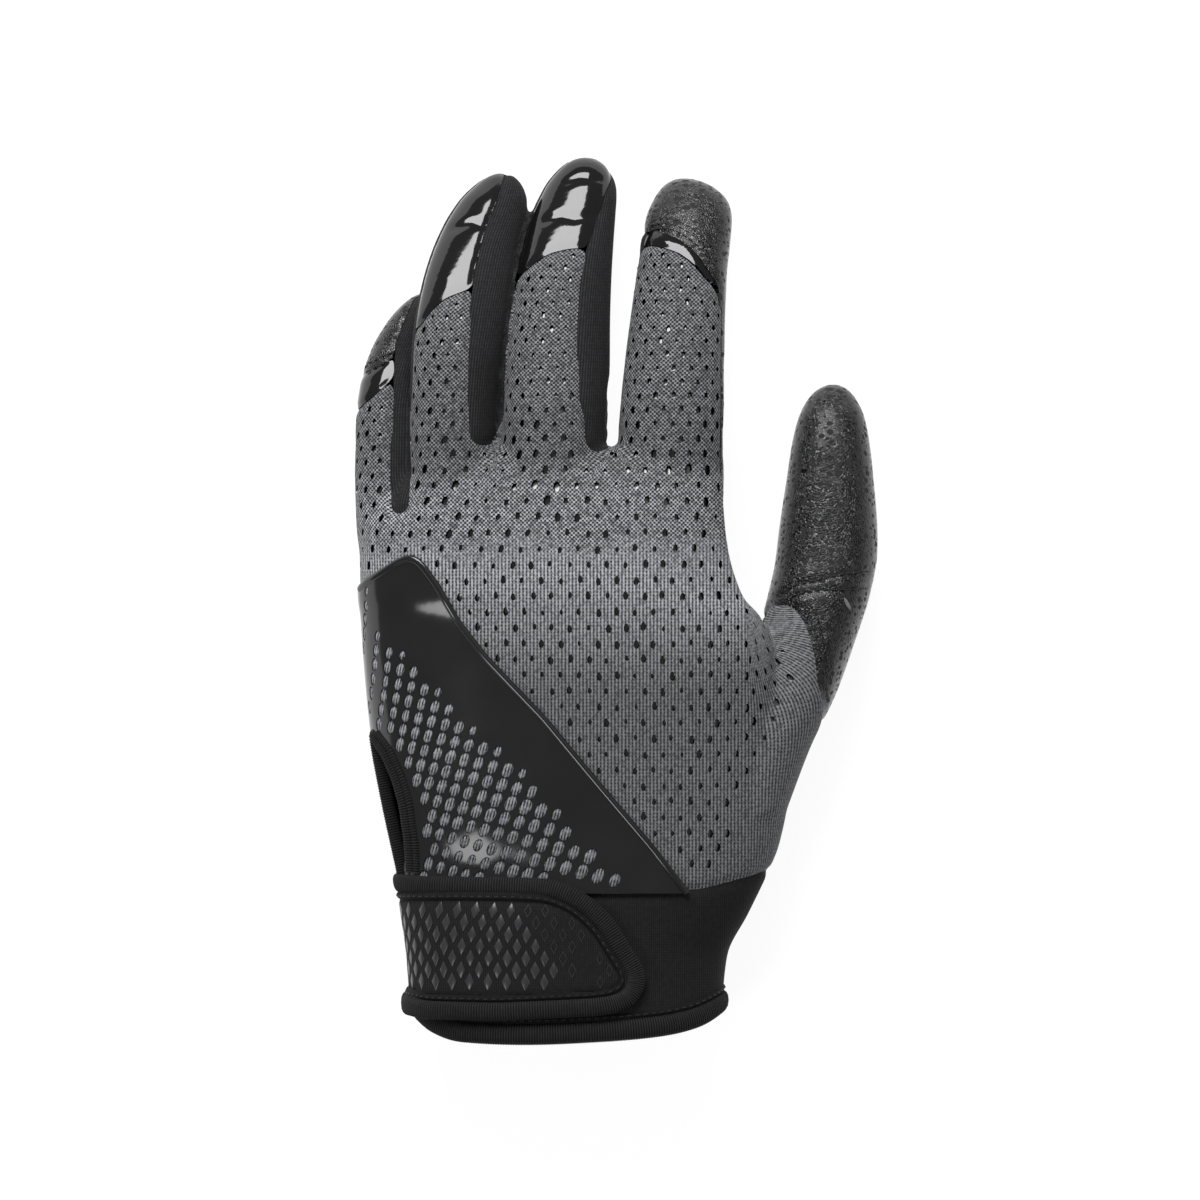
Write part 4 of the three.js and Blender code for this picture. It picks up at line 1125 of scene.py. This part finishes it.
# %% The trees that stand parts
def part_tree(name, on_path):
    """Stands the part on every point, or evenly along a path, with its Z out of the cloth."""
    tree = bpy.data.node_groups.new(name, "GeometryNodeTree")
    sockets = {"Geometry": "Geometry", "Part": "Object", "Size": "Float", "Material": "Material"}
    if on_path:
        sockets["Spacing"] = "Float"
    for socket, kind in sockets.items():
        tree.interface.new_socket(socket, in_out="INPUT", socket_type="NodeSocket" + kind)
    tree.interface.new_socket("Geometry", in_out="OUTPUT", socket_type="NodeSocketGeometry")
    points, part, size, material, *spacing = add(tree, "NodeGroupInput", out=slice(0, len(sockets)))
    own = {values: add(tree, "GeometryNodeInputNamedAttribute", {"Name": values}, data_type="FLOAT_VECTOR")
           for values in (["facing"] if on_path else ["facing", "forward", "size"])}
    if on_path:
        curve = add(tree, "GeometryNodeMeshToCurve", {"Mesh": points})
        points = add(tree, "GeometryNodeResampleCurve", {"Curve": curve, "Length": spacing[0]}, mode="LENGTH")
        own["forward"] = add(tree, "GeometryNodeInputTangent")
    else:
        size = add(tree, "ShaderNodeVectorMath", {0: own["size"], "Scale": size}, operation="SCALE")
    turn = add(tree, "FunctionNodeAxesToRotation", {0: own["facing"], 1: own["forward"]}, primary_axis="Z",
               secondary_axis="X" if on_path else "Y")
    mesh = add(tree, "GeometryNodeObjectInfo", {"Object": part}, out="Geometry")
    copies = add(tree, "GeometryNodeInstanceOnPoints",
                 {"Points": points, "Instance": mesh, "Rotation": turn, "Scale": size})
    real = add(tree, "GeometryNodeRealizeInstances", {"Geometry": copies})
    dressed = add(tree, "GeometryNodeSetMaterial", {"Geometry": real, "Material": material})
    add(tree, "NodeGroupOutput", {"Geometry": dressed})
    return tree


SET_PARTS = part_tree("set_parts_on_points", False)
FOLLOW_PATH = part_tree("follow_path", True)
print("trees:", SET_PARTS.name, len(SET_PARTS.nodes), FOLLOW_PATH.name, len(FOLLOW_PATH.nodes))

# %% Standing parts
def stood(tree, part, material, places, lines=(), spacing=0.0, **attributes):
    """A plain mesh of the part stood on the places by one of the trees. Places and spacing in mm."""
    mesh = bpy.data.meshes.new("places")
    mesh.from_pydata((np.asarray(places) * MM).tolist(), lines, [])
    for name, values in attributes.items():
        layer = mesh.attributes.new(name, "FLOAT_VECTOR", "POINT")
        layer.data.foreach_set("vector", np.asarray(values, float).ravel())
    inputs = {"Part": part, "Spacing": spacing * MM, "Size": MM, "Material": material}
    return changed(mesh, "NODES", inputs, node_group=tree)


def set_parts(places, facing, forward, sizes, part, material):
    """The part standing on every place. Sizes scale the part's millimetres."""
    return stood(SET_PARTS, part, material, places, facing=facing, forward=forward, size=sizes)


def follow(places, facing, part, spacing, material, closed=True):
    """The part repeated along the path."""
    count = len(places)
    lines = [(i, (i + 1) % count) for i in range(count if closed else count - 1)]
    return stood(FOLLOW_PATH, part, material, places, lines, spacing, facing=facing)


# %% Small parts
def part_object(name, points, faces):
    """A small part in millimetres, kept out of the picture, that the tree copies."""
    mesh = bpy.data.meshes.new(name)
    mesh.from_pydata([tuple(p) for p in points], [], [tuple(f) for f in faces])
    return bpy.data.objects.new(name, mesh)


def rounded_part(name, rings, sides=8, tip=None):
    """A turned part from (radius, height) rings. Its upper end is flat, and so is its lower end unless it has
    a tip."""
    angle = np.linspace(0, 2 * math.pi, sides, endpoint=False)
    points = [(r * math.cos(a), r * math.sin(a), h) for r, h in rings for a in angle]
    faces = bands(len(rings), sides)
    if tip is not None:
        faces[-2:] = faces[-1:] + [((k + 1) % sides, k, len(points)) for k in range(sides)]
        points.append((0, 0, tip))
    return part_object(name, points, faces)


# %% Cut the eyelets
POCKET_DEPTH = 1.0        # mm
SWIRL = 0.34              # radians that the eyelets lean more over the ring and little fingers' knuckles
cutter_part = rounded_part("eyelet_cutter", [(0.34, -0.94), (0.46, -0.25), (0.56, 0.6)], tip=-POCKET_DEPTH)


def carved(mesh, cutters):
    """The mesh with all the cutters taken out, keeping their material in the pockets."""
    tool = show(bpy.data.objects.new("cutters", cutters))
    result = changed(mesh, "BOOLEAN", operation="DIFFERENCE", solver="MANIFOLD", object=tool,
                     material_mode="TRANSFER")
    bpy.data.objects.remove(tool)
    return result


def eyelet_cutters():
    """The cutters, sized first and then turned a little from the cloth's own direction."""
    sizes = [eyelet_size(place, stretch) for place, _, _, stretch in sites]
    forward = []
    for (x, y, _), normal, along, _ in sites:
        lean = random.uniform(-0.08, 0.2) + SWIRL * smooth(-4, -30, x) * smooth(2, 14, y) * smooth(54, 38, y)
        forward.append(along * math.cos(lean) + np.cross(along, normal) * math.sin(lean))
    scale = [(w, h, 1.0) for w, h in sizes]
    return set_parts([s[0] for s in sites], [s[1] for s in sites], forward, scale, cutter_part, LINING)


points, faces, normals, across, along = patches["back_mesh_panel"]
low = dipped(points, normals, near_seam["back_mesh_panel"])
back_wall = carved(walled(low, faces, across, along, KNIT_WALL, KNIT), eyelet_cutters())
print("knit with its pockets, faces:", len(back_wall.polygons))

# %% [markdown]
# ## The side overlay and its windows
# A moulded film covers the little-finger side of the back. It is pierced by slanted ovals in slanted rows,
# and the stretched knit swells through each of them. The film is the same skin set off by a fraction of a
# millimetre; the ovals are cut as the eyelets were, and a low dome of knit stands in every window.

# %% Rows of windows
# the next window along a row and down a column, and how both change along the row, along the row and down the
# column together, and down the column
ROW, COLUMN = np.array([3.15, -0.5]), np.array([0.0, -3.34])
STRETCH = np.array([[0.09, -0.015], [-0.07, -0.01], [-0.035, -0.008]])
WINDOW_ORIGIN = (-62.4, 5.2)
WINDOW_LEAN = math.radians(30)
STRAP_COVERS = -67.5      # below this y the strap hides the film


def window_sites():
    """Place, normal and size of each window that has room on the film. They are smaller round one spot."""
    found = []
    for i in range(-5, 28):
        for j in range(-3, 30):
            x, y = (np.array(WINDOW_ORIGIN) + i * ROW + j * COLUMN
                    + 0.5 * (i * i * STRETCH[0] + 2 * i * j * STRETCH[1] + j * j * STRETCH[2]))
            spot = np.array([[x, y, 0.0]])
            room = -plan_distance(spot, WINDOW_FIELD)[0]
            clear = plan_distance(spot, VENT_EDGE)[0]
            if room < 0.2 or clear < 1.2 or y < STRAP_COVERS:
                continue
            place, normal = drop(x, y)
            if place is None or place[2] < SIDE_SEAM + 2 or normal[2] < 0.12:
                continue
            growth = 0.86 + 0.24 * smooth(0, 75, math.hypot(x + 62, y - 2)) - 0.3 * smooth(2.2, 0.2, room)
            growth -= 0.28 * math.exp(-((x + 36) ** 2 + (y + 62) ** 2) / 45)
            found.append((place, normal, growth * random.uniform(0.93, 1.05)))
    return found


window_list = window_sites()
print("windows:", len(window_list))

# %% Film and domes
FILM_LIFT, FILM_WALL = 0.15, 0.6
WINDOW_SIZE, DOME_SIZE = (2.4, 3.7), (2.5, 3.85)
DOME_LIFT = 0.34


def overlay_patch():
    """The film's patch, rolled in a little at its edge."""
    field = np.maximum(plan_distance(skin, OVERLAY_EDGE), SIDE_SEAM - skin[:, 2])
    field = np.maximum(field, -plan_distance(skin, VENT_EDGE) - 1.5)
    points, faces, normals, across, along = cut_patch(np.where(skin_normals[:, 2] < -0.2, 5.0, field))
    return points + normals * FILM_LIFT, faces, across, along


window_cutter = rounded_part("window_cutter", [(0.5, -1.2), (0.5, 0.3), (0.56, 1.6)], 12)
dome_rings = [(0.5 * math.cos(a), 0.42 * math.sin(a)) for a in np.linspace(-0.3, 1.35, 5)]
dome_part = rounded_part("knit_dome", dome_rings, 10)


def window_parts(part, material, size, lift):
    """The part in every window, leaning as the windows do."""
    lean = []
    for _, normal, _ in window_list:
        up = np.array([math.sin(WINDOW_LEAN), math.cos(WINDOW_LEAN), 0.0])
        up = up - normal * up.dot(normal)
        lean.append(up / np.linalg.norm(up))
    places = [p + n * lift for p, n, _ in window_list]
    scale = [(size[0] * g, size[1] * g, 1.0) for _, _, g in window_list]
    return set_parts(places, [n for _, n, _ in window_list], lean, scale, part, material)


def mapped_from_skin(mesh):
    """Gives the domes the cloth's map at their own places, drawn together and slanted by the stretch, and moved up
    it so that the knit's painted light paints them lighter.
    """
    places, _ = arrays(mesh)
    across, along, _ = cloth_map(places)
    # painted light: the offset along sets the domes in the knit's painted lighter band
    with_map(mesh, 1.15 * across - 0.3 * along, 0.3 * along + 4)


film = walled(*overlay_patch(), FILM_WALL, OVERLAY, outward=True)
film = carved(film, window_parts(window_cutter, OVERLAY, WINDOW_SIZE, 0.0))
domes = window_parts(dome_part, KNIT, DOME_SIZE, DOME_LIFT)
mapped_from_skin(domes)
finished("back_mesh_panel", back_wall, domes)

# %% [markdown]
# ## Tapes along the edges
# The raw edges of the strap, the cuff and the vent are bound with grosgrain tape: a ribbed ribbon folded
# round the edge and sewn down. Its body is one padded section carried along the edge. Its ribs follow the
# same path at an even pitch, square to the path and to the cloth, and so do the stitches.

# %% Paths on the skin
def loops_of(triangles):
    """The border's rings of points, each in order, with the piece on their left."""
    after = dict(border(triangles).tolist())
    rings = []
    while after:
        start, here = after.popitem()
        ring = [start]
        while here != start:
            ring.append(here)
            here = after.pop(here)
        rings.append(ring)
    return rings


def longest_loop(points, faces):
    """The longest ring of a patch's border."""
    return points[max(loops_of(faces), key=len)]


def laid(path, spacing=1.0, rounds=3, closed=True):
    """A path resampled evenly, softened and laid on the skin: places and facings."""
    line = np.vstack([path, path[:1]]) if closed else np.asarray(path, float)
    reach = np.concatenate([[0], np.cumsum(np.linalg.norm(np.diff(line, axis=0), axis=1))])
    at = np.linspace(0, reach[-1], max(8, int(reach[-1] / spacing)), endpoint=not closed)
    places = np.column_stack([np.interp(at, reach, line[:, k]) for k in range(3)])

    def softened(values, times):
        for _ in range(times):
            more = np.concatenate([values[-1:], values, values[:1]]) if closed else np.pad(
                values, ((1, 1), (0, 0)), "edge")
            values = (more[:-2] + 2 * more[1:-1] + more[2:]) / 4
        return values

    found = [SKIN_TREE.find_nearest(Vector(p)) for p in softened(places, rounds)]
    facing = softened(np.array([tuple(f[1]) for f in found]), 6)
    return np.array([tuple(f[0]) for f in found]), facing / np.linalg.norm(facing, axis=1)[:, None]


def on_skin(path):
    """Each place of the path dropped on the skin, or moved in to its side where it lies just outside."""
    tops = [drop(x, y)[0] for x, y in path]
    return np.array([tuple(SKIN_TREE.find_nearest(Vector((x, y, 20.0)))[0]) if top is None else top
                     for (x, y), top in zip(path, tops)])


def frames_along(places, facing, closed=True):
    """Tangents and the direction to the path's left, along the cloth."""
    ahead = np.roll(places, -1, 0) - np.roll(places, 1, 0)
    if not closed:
        ahead[0], ahead[-1] = places[1] - places[0], places[-1] - places[-2]
    ahead /= np.linalg.norm(ahead, axis=1)[:, None]
    left = np.cross(facing, ahead)
    return ahead, left / np.linalg.norm(left, axis=1)[:, None]


# %% Tape body and ribs
RIB_PITCH = 0.62
RIB_RISE = 0.13
TAPE_SIDES = 16
# half width, half thickness, and how far the middle lies to the left of the path and above the skin
STRAP_TAPE, HEM_TAPE = (2.1, 1.35, 1.8, 1.3), (2.5, 2.2, 2.1, -0.95)
VENT_TAPE, VENT_SIDE_TAPE = (1.45, 1.5, 0.0, 0.1), (0.7, 0.7, -2.2, 0.6)
WELT, LIP = (0.62, 0.42, 0.0, 0.06), (0.85, 0.62, -0.75, 0.62)


def oval(half_wide, half_high, left, up, grow=0.0, power=2.5):
    """The tape's padded section, as (left, up) places."""
    angle = np.linspace(0, 2 * math.pi, TAPE_SIDES, endpoint=False)
    c, s = np.cos(angle), np.sin(angle)
    return np.column_stack([left + (half_wide + grow) * np.sign(c) * np.abs(c) ** (2 / power),
                            up + (half_high + grow) * np.sign(s) * np.abs(s) ** (2 / power)])


def rib_part(name, *sizes):
    """One rib: a low rounded ridge round the whole section."""
    rows = [(-0.2, -0.12), (-0.09, RIB_RISE), (0.09, RIB_RISE), (0.2, -0.12)]
    points = [(x, a, b) for x, grow in rows for a, b in oval(*sizes, grow=grow)]
    return part_object(name, points, bands(len(rows), TAPE_SIDES, around=True))


def swept(places, facing, shape, closed=True, material=TAPE):
    """A solid of one section carried along a path."""
    _, left = frames_along(places, facing, closed)
    rings = places[:, None] + left[:, None] * shape[None, :, :1] + facing[:, None] * shape[None, :, 1:]
    mesh = mesh_from("tape", rings.reshape(-1, 3), bands(*rings.shape[:2], around=closed, inward=True))
    mesh.materials.append(material)
    return mesh


def tape(name, places, facing, *sizes, closed=True):
    """Body and ribs of one tape."""
    ribs = follow(places, facing, rib_part(name + "_rib", *sizes), RIB_PITCH, RIB, closed)
    return [swept(places, facing, oval(*sizes), closed), ribs]


# %% Stitches and welts
STITCH_PITCH = 2.0


def thread_part():
    """One stitch: a short thread whose ends dip into the cloth."""
    rows = [(-0.72, 0.03, -0.2), (-0.6, 0.13, -0.05), (-0.2, 0.18, 0.04), (0.2, 0.18, 0.04), (0.6, 0.13, -0.05),
            (0.72, 0.03, -0.2)]
    points = [(x, r * math.cos(a), up + r * math.sin(a)) for x, r, up in rows
              for a in np.linspace(0, 2 * math.pi, 6, endpoint=False)]
    return part_object("stitch", points, bands(len(rows), 6))


STITCH = thread_part()
print("one stitch, faces:", len(STITCH.data.polygons))


def welt(places, facing, closed=True):
    """A narrow folded edge with its stitches on top."""
    return [swept(places, facing, oval(*WELT, power=2.0), closed),
            follow(places + facing * WELT[1], facing, STITCH, STITCH_PITCH, THREAD, closed)]


# %% [markdown]
# ### Stitches in the leather
# The thumb is sewn across its root and along the knit, and the two leather caps are sewn over the film strips
# in close rows. The thread stands a little proud. Two leaf-shaped slits at the thumb's root show grey lining.

# %% Sew the leather
SEWN = {"thumb_leather": THUMB_SEAMS, "palm_leather_panel": CAP_SEAMS}
CLOSE_PITCH = 1.8
SLITS = [((54.2, -0.2), (56.4, -3.1), 1.0), ((55.3, -9.3), (56.2, -11.1), 0.7)]


def slit_parts():
    """Low leaf shapes of grey lining."""
    places, facing, forward, scale = [], [], [], []
    for (x0, y0), (x1, y1), wide in SLITS:
        place, normal = drop((x0 + x1) / 2, (y0 + y1) / 2)
        places.append(place - normal * 0.02)
        facing.append(normal)
        forward.append((x1 - x0, y1 - y0, 0.0))
        scale.append((wide, math.hypot(x1 - x0, y1 - y0), 0.4))
    return set_parts(places, facing, forward, scale, dome_part, SLIT_CLOTH)


for name, lines in SEWN.items():
    parts = [leather_walls[name]] + ([slit_parts()] if name == "thumb_leather" else [])
    for line in lines:
        places, facing = laid(on_skin(line), 0.7, 2, closed=False)
        parts.append(follow(places + facing * 0.02, facing, STITCH, CLOSE_PITCH, THREAD, closed=False))
    finished(name, *parts)

# %% [markdown]
# ### The overlay's rolled edge
# Along its diagonal the moulded film ends in a raised round lip, which catches a thin line of light.

# %% Lip of the overlay
lip, facing = laid(on_skin(OVERLAY_EDGE[1:-1]), 0.7, 6, closed=False)
lip_mesh = swept(lip, facing, oval(*LIP, power=2.0), closed=False, material=OVERLAY)
finished("side_overlay", film, lip_mesh)

# %% [markdown]
# ### The strap
# The strap comes from the palm side, turns round the little-finger side and ends in a slanted tongue on the
# back. It is a padded cloth with its tape round it. Inside the tape runs a narrow welt with the stitches,
# and the padding sinks beside it.

# %% Strap body and its tape
STRAP_LIFT, STRAP_WALL = 0.3, 1.6
BODY_INSET = 0.9          # the padding ends inside the tape
GROOVE = 4.75             # mm from the edge to the welt
BESIDE_WELT, SINK = 0.8, (0.35, 0.55)
PRESS = 0.75              # under the wrist the glove's weight presses the tape in
HEM_CLEAR = 1.2


def strap_field():
    """Distance to the strap's outline: the tongue above, the tail below the middle of the wrist."""
    upper = smooth(WRIST_MIDDLE - 2, WRIST_MIDDLE + 2, skin[:, 2])
    return upper * plan_distance(skin, STRAP_EDGE) + (1 - upper) * plan_distance(skin, TAIL_EDGE)


def off_the_hem(points):
    """The strap passes over the hem's tape, so it stands a little higher there."""
    above = points[:, 1] - through(hem_x, hem_y, np.clip(points[:, 0], -60, 40))
    return HEM_CLEAR * smooth(7.5, 4.5, above)


strap_out = strap_field()
points, faces, normals, across, along = cut_patch(strap_out + BODY_INSET)
strap_points, strap_normals = points, normals
rim = distance_to(points, longest_loop(*cut_patch(strap_out + GROOVE + BESIDE_WELT)[:2]), 4.0)
lift = STRAP_LIFT + off_the_hem(points) - SINK[0] * np.exp(-(rim / SINK[1]) ** 2)
strap_body = walled(points + normals * lift[:, None], faces, across, along,
                    STRAP_WALL, STRAP_CLOTH, outward=True)
edge, facing = laid(longest_loop(*cut_patch(strap_out)[:2]))
edge = edge + facing * (off_the_hem(edge) - PRESS * smooth(9, 3, edge[:, 2]))[:, None]
finished("strap_binding", *tape("strap_tape", edge, facing, *STRAP_TAPE))

# %% [markdown]
# ### Lozenges on the strap
# Rubber lozenges are moulded on the strap's face in half-shifted rows. They are full on the little-finger
# side, and thin out into bare outlines towards the tongue. The rows are laid out on the girth of the wrist,
# so they keep their pitch where the strap turns round the side.

# %% Places of the lozenges
LOZENGE_STEP = (4.35, 2.78)
LOZENGE_SIZE = (1.12, 2.15)    # half width and half height
FIRST_X, TOP_ROW = -38.85, -75.0
# the wrist's section that the girth is measured on
MIDDLE_X, MIDDLE_Z = -10.5, 19.5
HALF_WIDE, HALF_HIGH = 38.0, 19.9


def girth_map(points):
    """Distance round the wrist, read as x on its top."""
    ring = section(0, 0, 0, HALF_WIDE, HALF_HIGH, HAND_POWER, 360)[:, [0, 2]]
    bearings = np.unwrap(np.arctan2(ring[:, 1] / HALF_HIGH, ring[:, 0] / HALF_WIDE))
    reach = np.concatenate([[0], np.cumsum(np.linalg.norm(np.diff(ring, axis=0), axis=1))])
    bearing = np.arctan2((points[:, 2] - MIDDLE_Z) / HALF_HIGH, (points[:, 0] - MIDDLE_X) / HALF_WIDE)
    bearing = np.where(bearing < -math.pi / 2, bearing + 2 * math.pi, bearing)
    return MIDDLE_X - np.interp(bearing, bearings, reach) + np.interp(math.pi / 2, bearings, reach)


def strap_room(place):
    """How far a place lies inside the strap's outline."""
    return -plan_distance(np.array([place]), STRAP_EDGE if place[2] > WRIST_MIDDLE else TAIL_EDGE)[0]


def lozenge_sites():
    """The full lozenges and the outlined ones, each with its place, normal, direction and size."""
    wide, tall = LOZENGE_STEP
    wanted = [(FIRST_X + (i + (j % 2) / 2) * wide, TOP_ROW - j * tall)
              for j in range(8) for i in range(-22, 10)]
    found = nearest_frames(strap_points, strap_normals, girth_map(strap_points), strap_points[:, 1], wanted)
    full, thin = [], []
    for place, normal, forward, _ in found:
        room = strap_room(place)
        if room < GROOVE + 1.7 or random.random() < 0.3 * smooth(-16, -6, place[0]) * (place[2] > WRIST_MIDDLE):
            continue
        fade = smooth(-26, -12, place[0] + 0.9 * (place[1] + 80)) if place[2] > WRIST_MIDDLE else 0.0
        size = (1 - 0.25 * fade) * smooth(GROOVE - 0.2, GROOVE + 2.2, room) * random.uniform(0.94, 1.04)
        (thin if fade > 0.45 else full).append((place, normal, forward, size))
    return full, thin


# %% Set the lozenges
def diamond(name, rows, hollow=False):
    """A four-cornered part from (size, height) rings, or a frame when it is hollow."""
    points = [(s * x, s * y, h) for s, h in rows for x, y in [(1, 0), (0, 1), (-1, 0), (0, -1)]]
    return part_object(name, points, bands(len(rows), 4, around=hollow))


full, thin = lozenge_sites()
parts = [strap_body]
for group, part in ((full, diamond("lozenge", [(1.0, -0.1), (1.0, 0.1), (0.84, 0.2)])),
                    (thin, diamond("lozenge_outline", [(1.0, -0.1), (1.0, 0.1), (0.8, 0.1), (0.8, -0.1)], True))):
    places, facing = (np.array([s[k] for s in group]) for k in (0, 1))
    places = places + facing * (STRAP_LIFT + STRAP_WALL + off_the_hem(places))[:, None]
    scale = [(LOZENGE_SIZE[0] * s[3], LOZENGE_SIZE[1] * s[3], 1.0) for s in group]
    parts.append(set_parts(places, facing, [s[2] for s in group], scale, part, LOZENGE))
groove, facing = laid(longest_loop(*cut_patch(strap_out + GROOVE)[:2]))
groove = groove + facing * (STRAP_LIFT + STRAP_WALL + off_the_hem(groove))[:, None]
print("lozenges:", len(full), "full,", len(thin), "outlined")
finished("wrist_strap", *parts, *welt(groove, facing))

# %% [markdown]
# ### The hem and the vent
# The cuff's mouth is bound all round. The slit at the little-finger side is bound too: a broad ribbed tape
# folds over its edge, and on the inner side a second narrow tape lies beside it, with the seam between.

# %% Hem tape
ABOVE_HEM = 5.3           # where the welt runs


def hem_loop():
    """The cuff's lower border: of its long rings, the one nearest the wrist's end."""
    points, faces = patches["wrist_cuff"][:2]
    rings = [points[ring] for ring in loops_of(faces)]
    return min((ring for ring in rings if len(ring) > 60), key=lambda ring: ring[:, 1].mean())


hem, facing = laid(hem_loop())
_, left = frames_along(hem, facing)
finished("cuff_hem_binding", *tape("hem_tape", hem, facing, *HEM_TAPE), *welt(hem + left * ABOVE_HEM, facing))

# %% Vent tapes
VENT_PATH = [(-48.9, -66), (-49.3, -58), (-50.4, -50), (-52.2, -43.5), (-54.8, -37.5), (-57.2, -33.9),
             (-58.9, -32.6), (-59.6, -34.4), (-57.6, -40.6), (-55.2, -52.3), (-53, -61.4), (-51.2, -68)]
VENT_RIGHT = 6            # the first points, up to the top, are the inner side
vent_line, facing = laid(on_skin(VENT_PATH), 0.8, 2, closed=False)
vent_parts = tape("vent_tape", vent_line, facing, *VENT_TAPE, closed=False)
beside, facing = laid(on_skin(VENT_PATH[:VENT_RIGHT]), 0.8, 2, closed=False)
finished("vent_binding", *vent_parts, *tape("vent_side_tape", beside, facing, *VENT_SIDE_TAPE, closed=False))
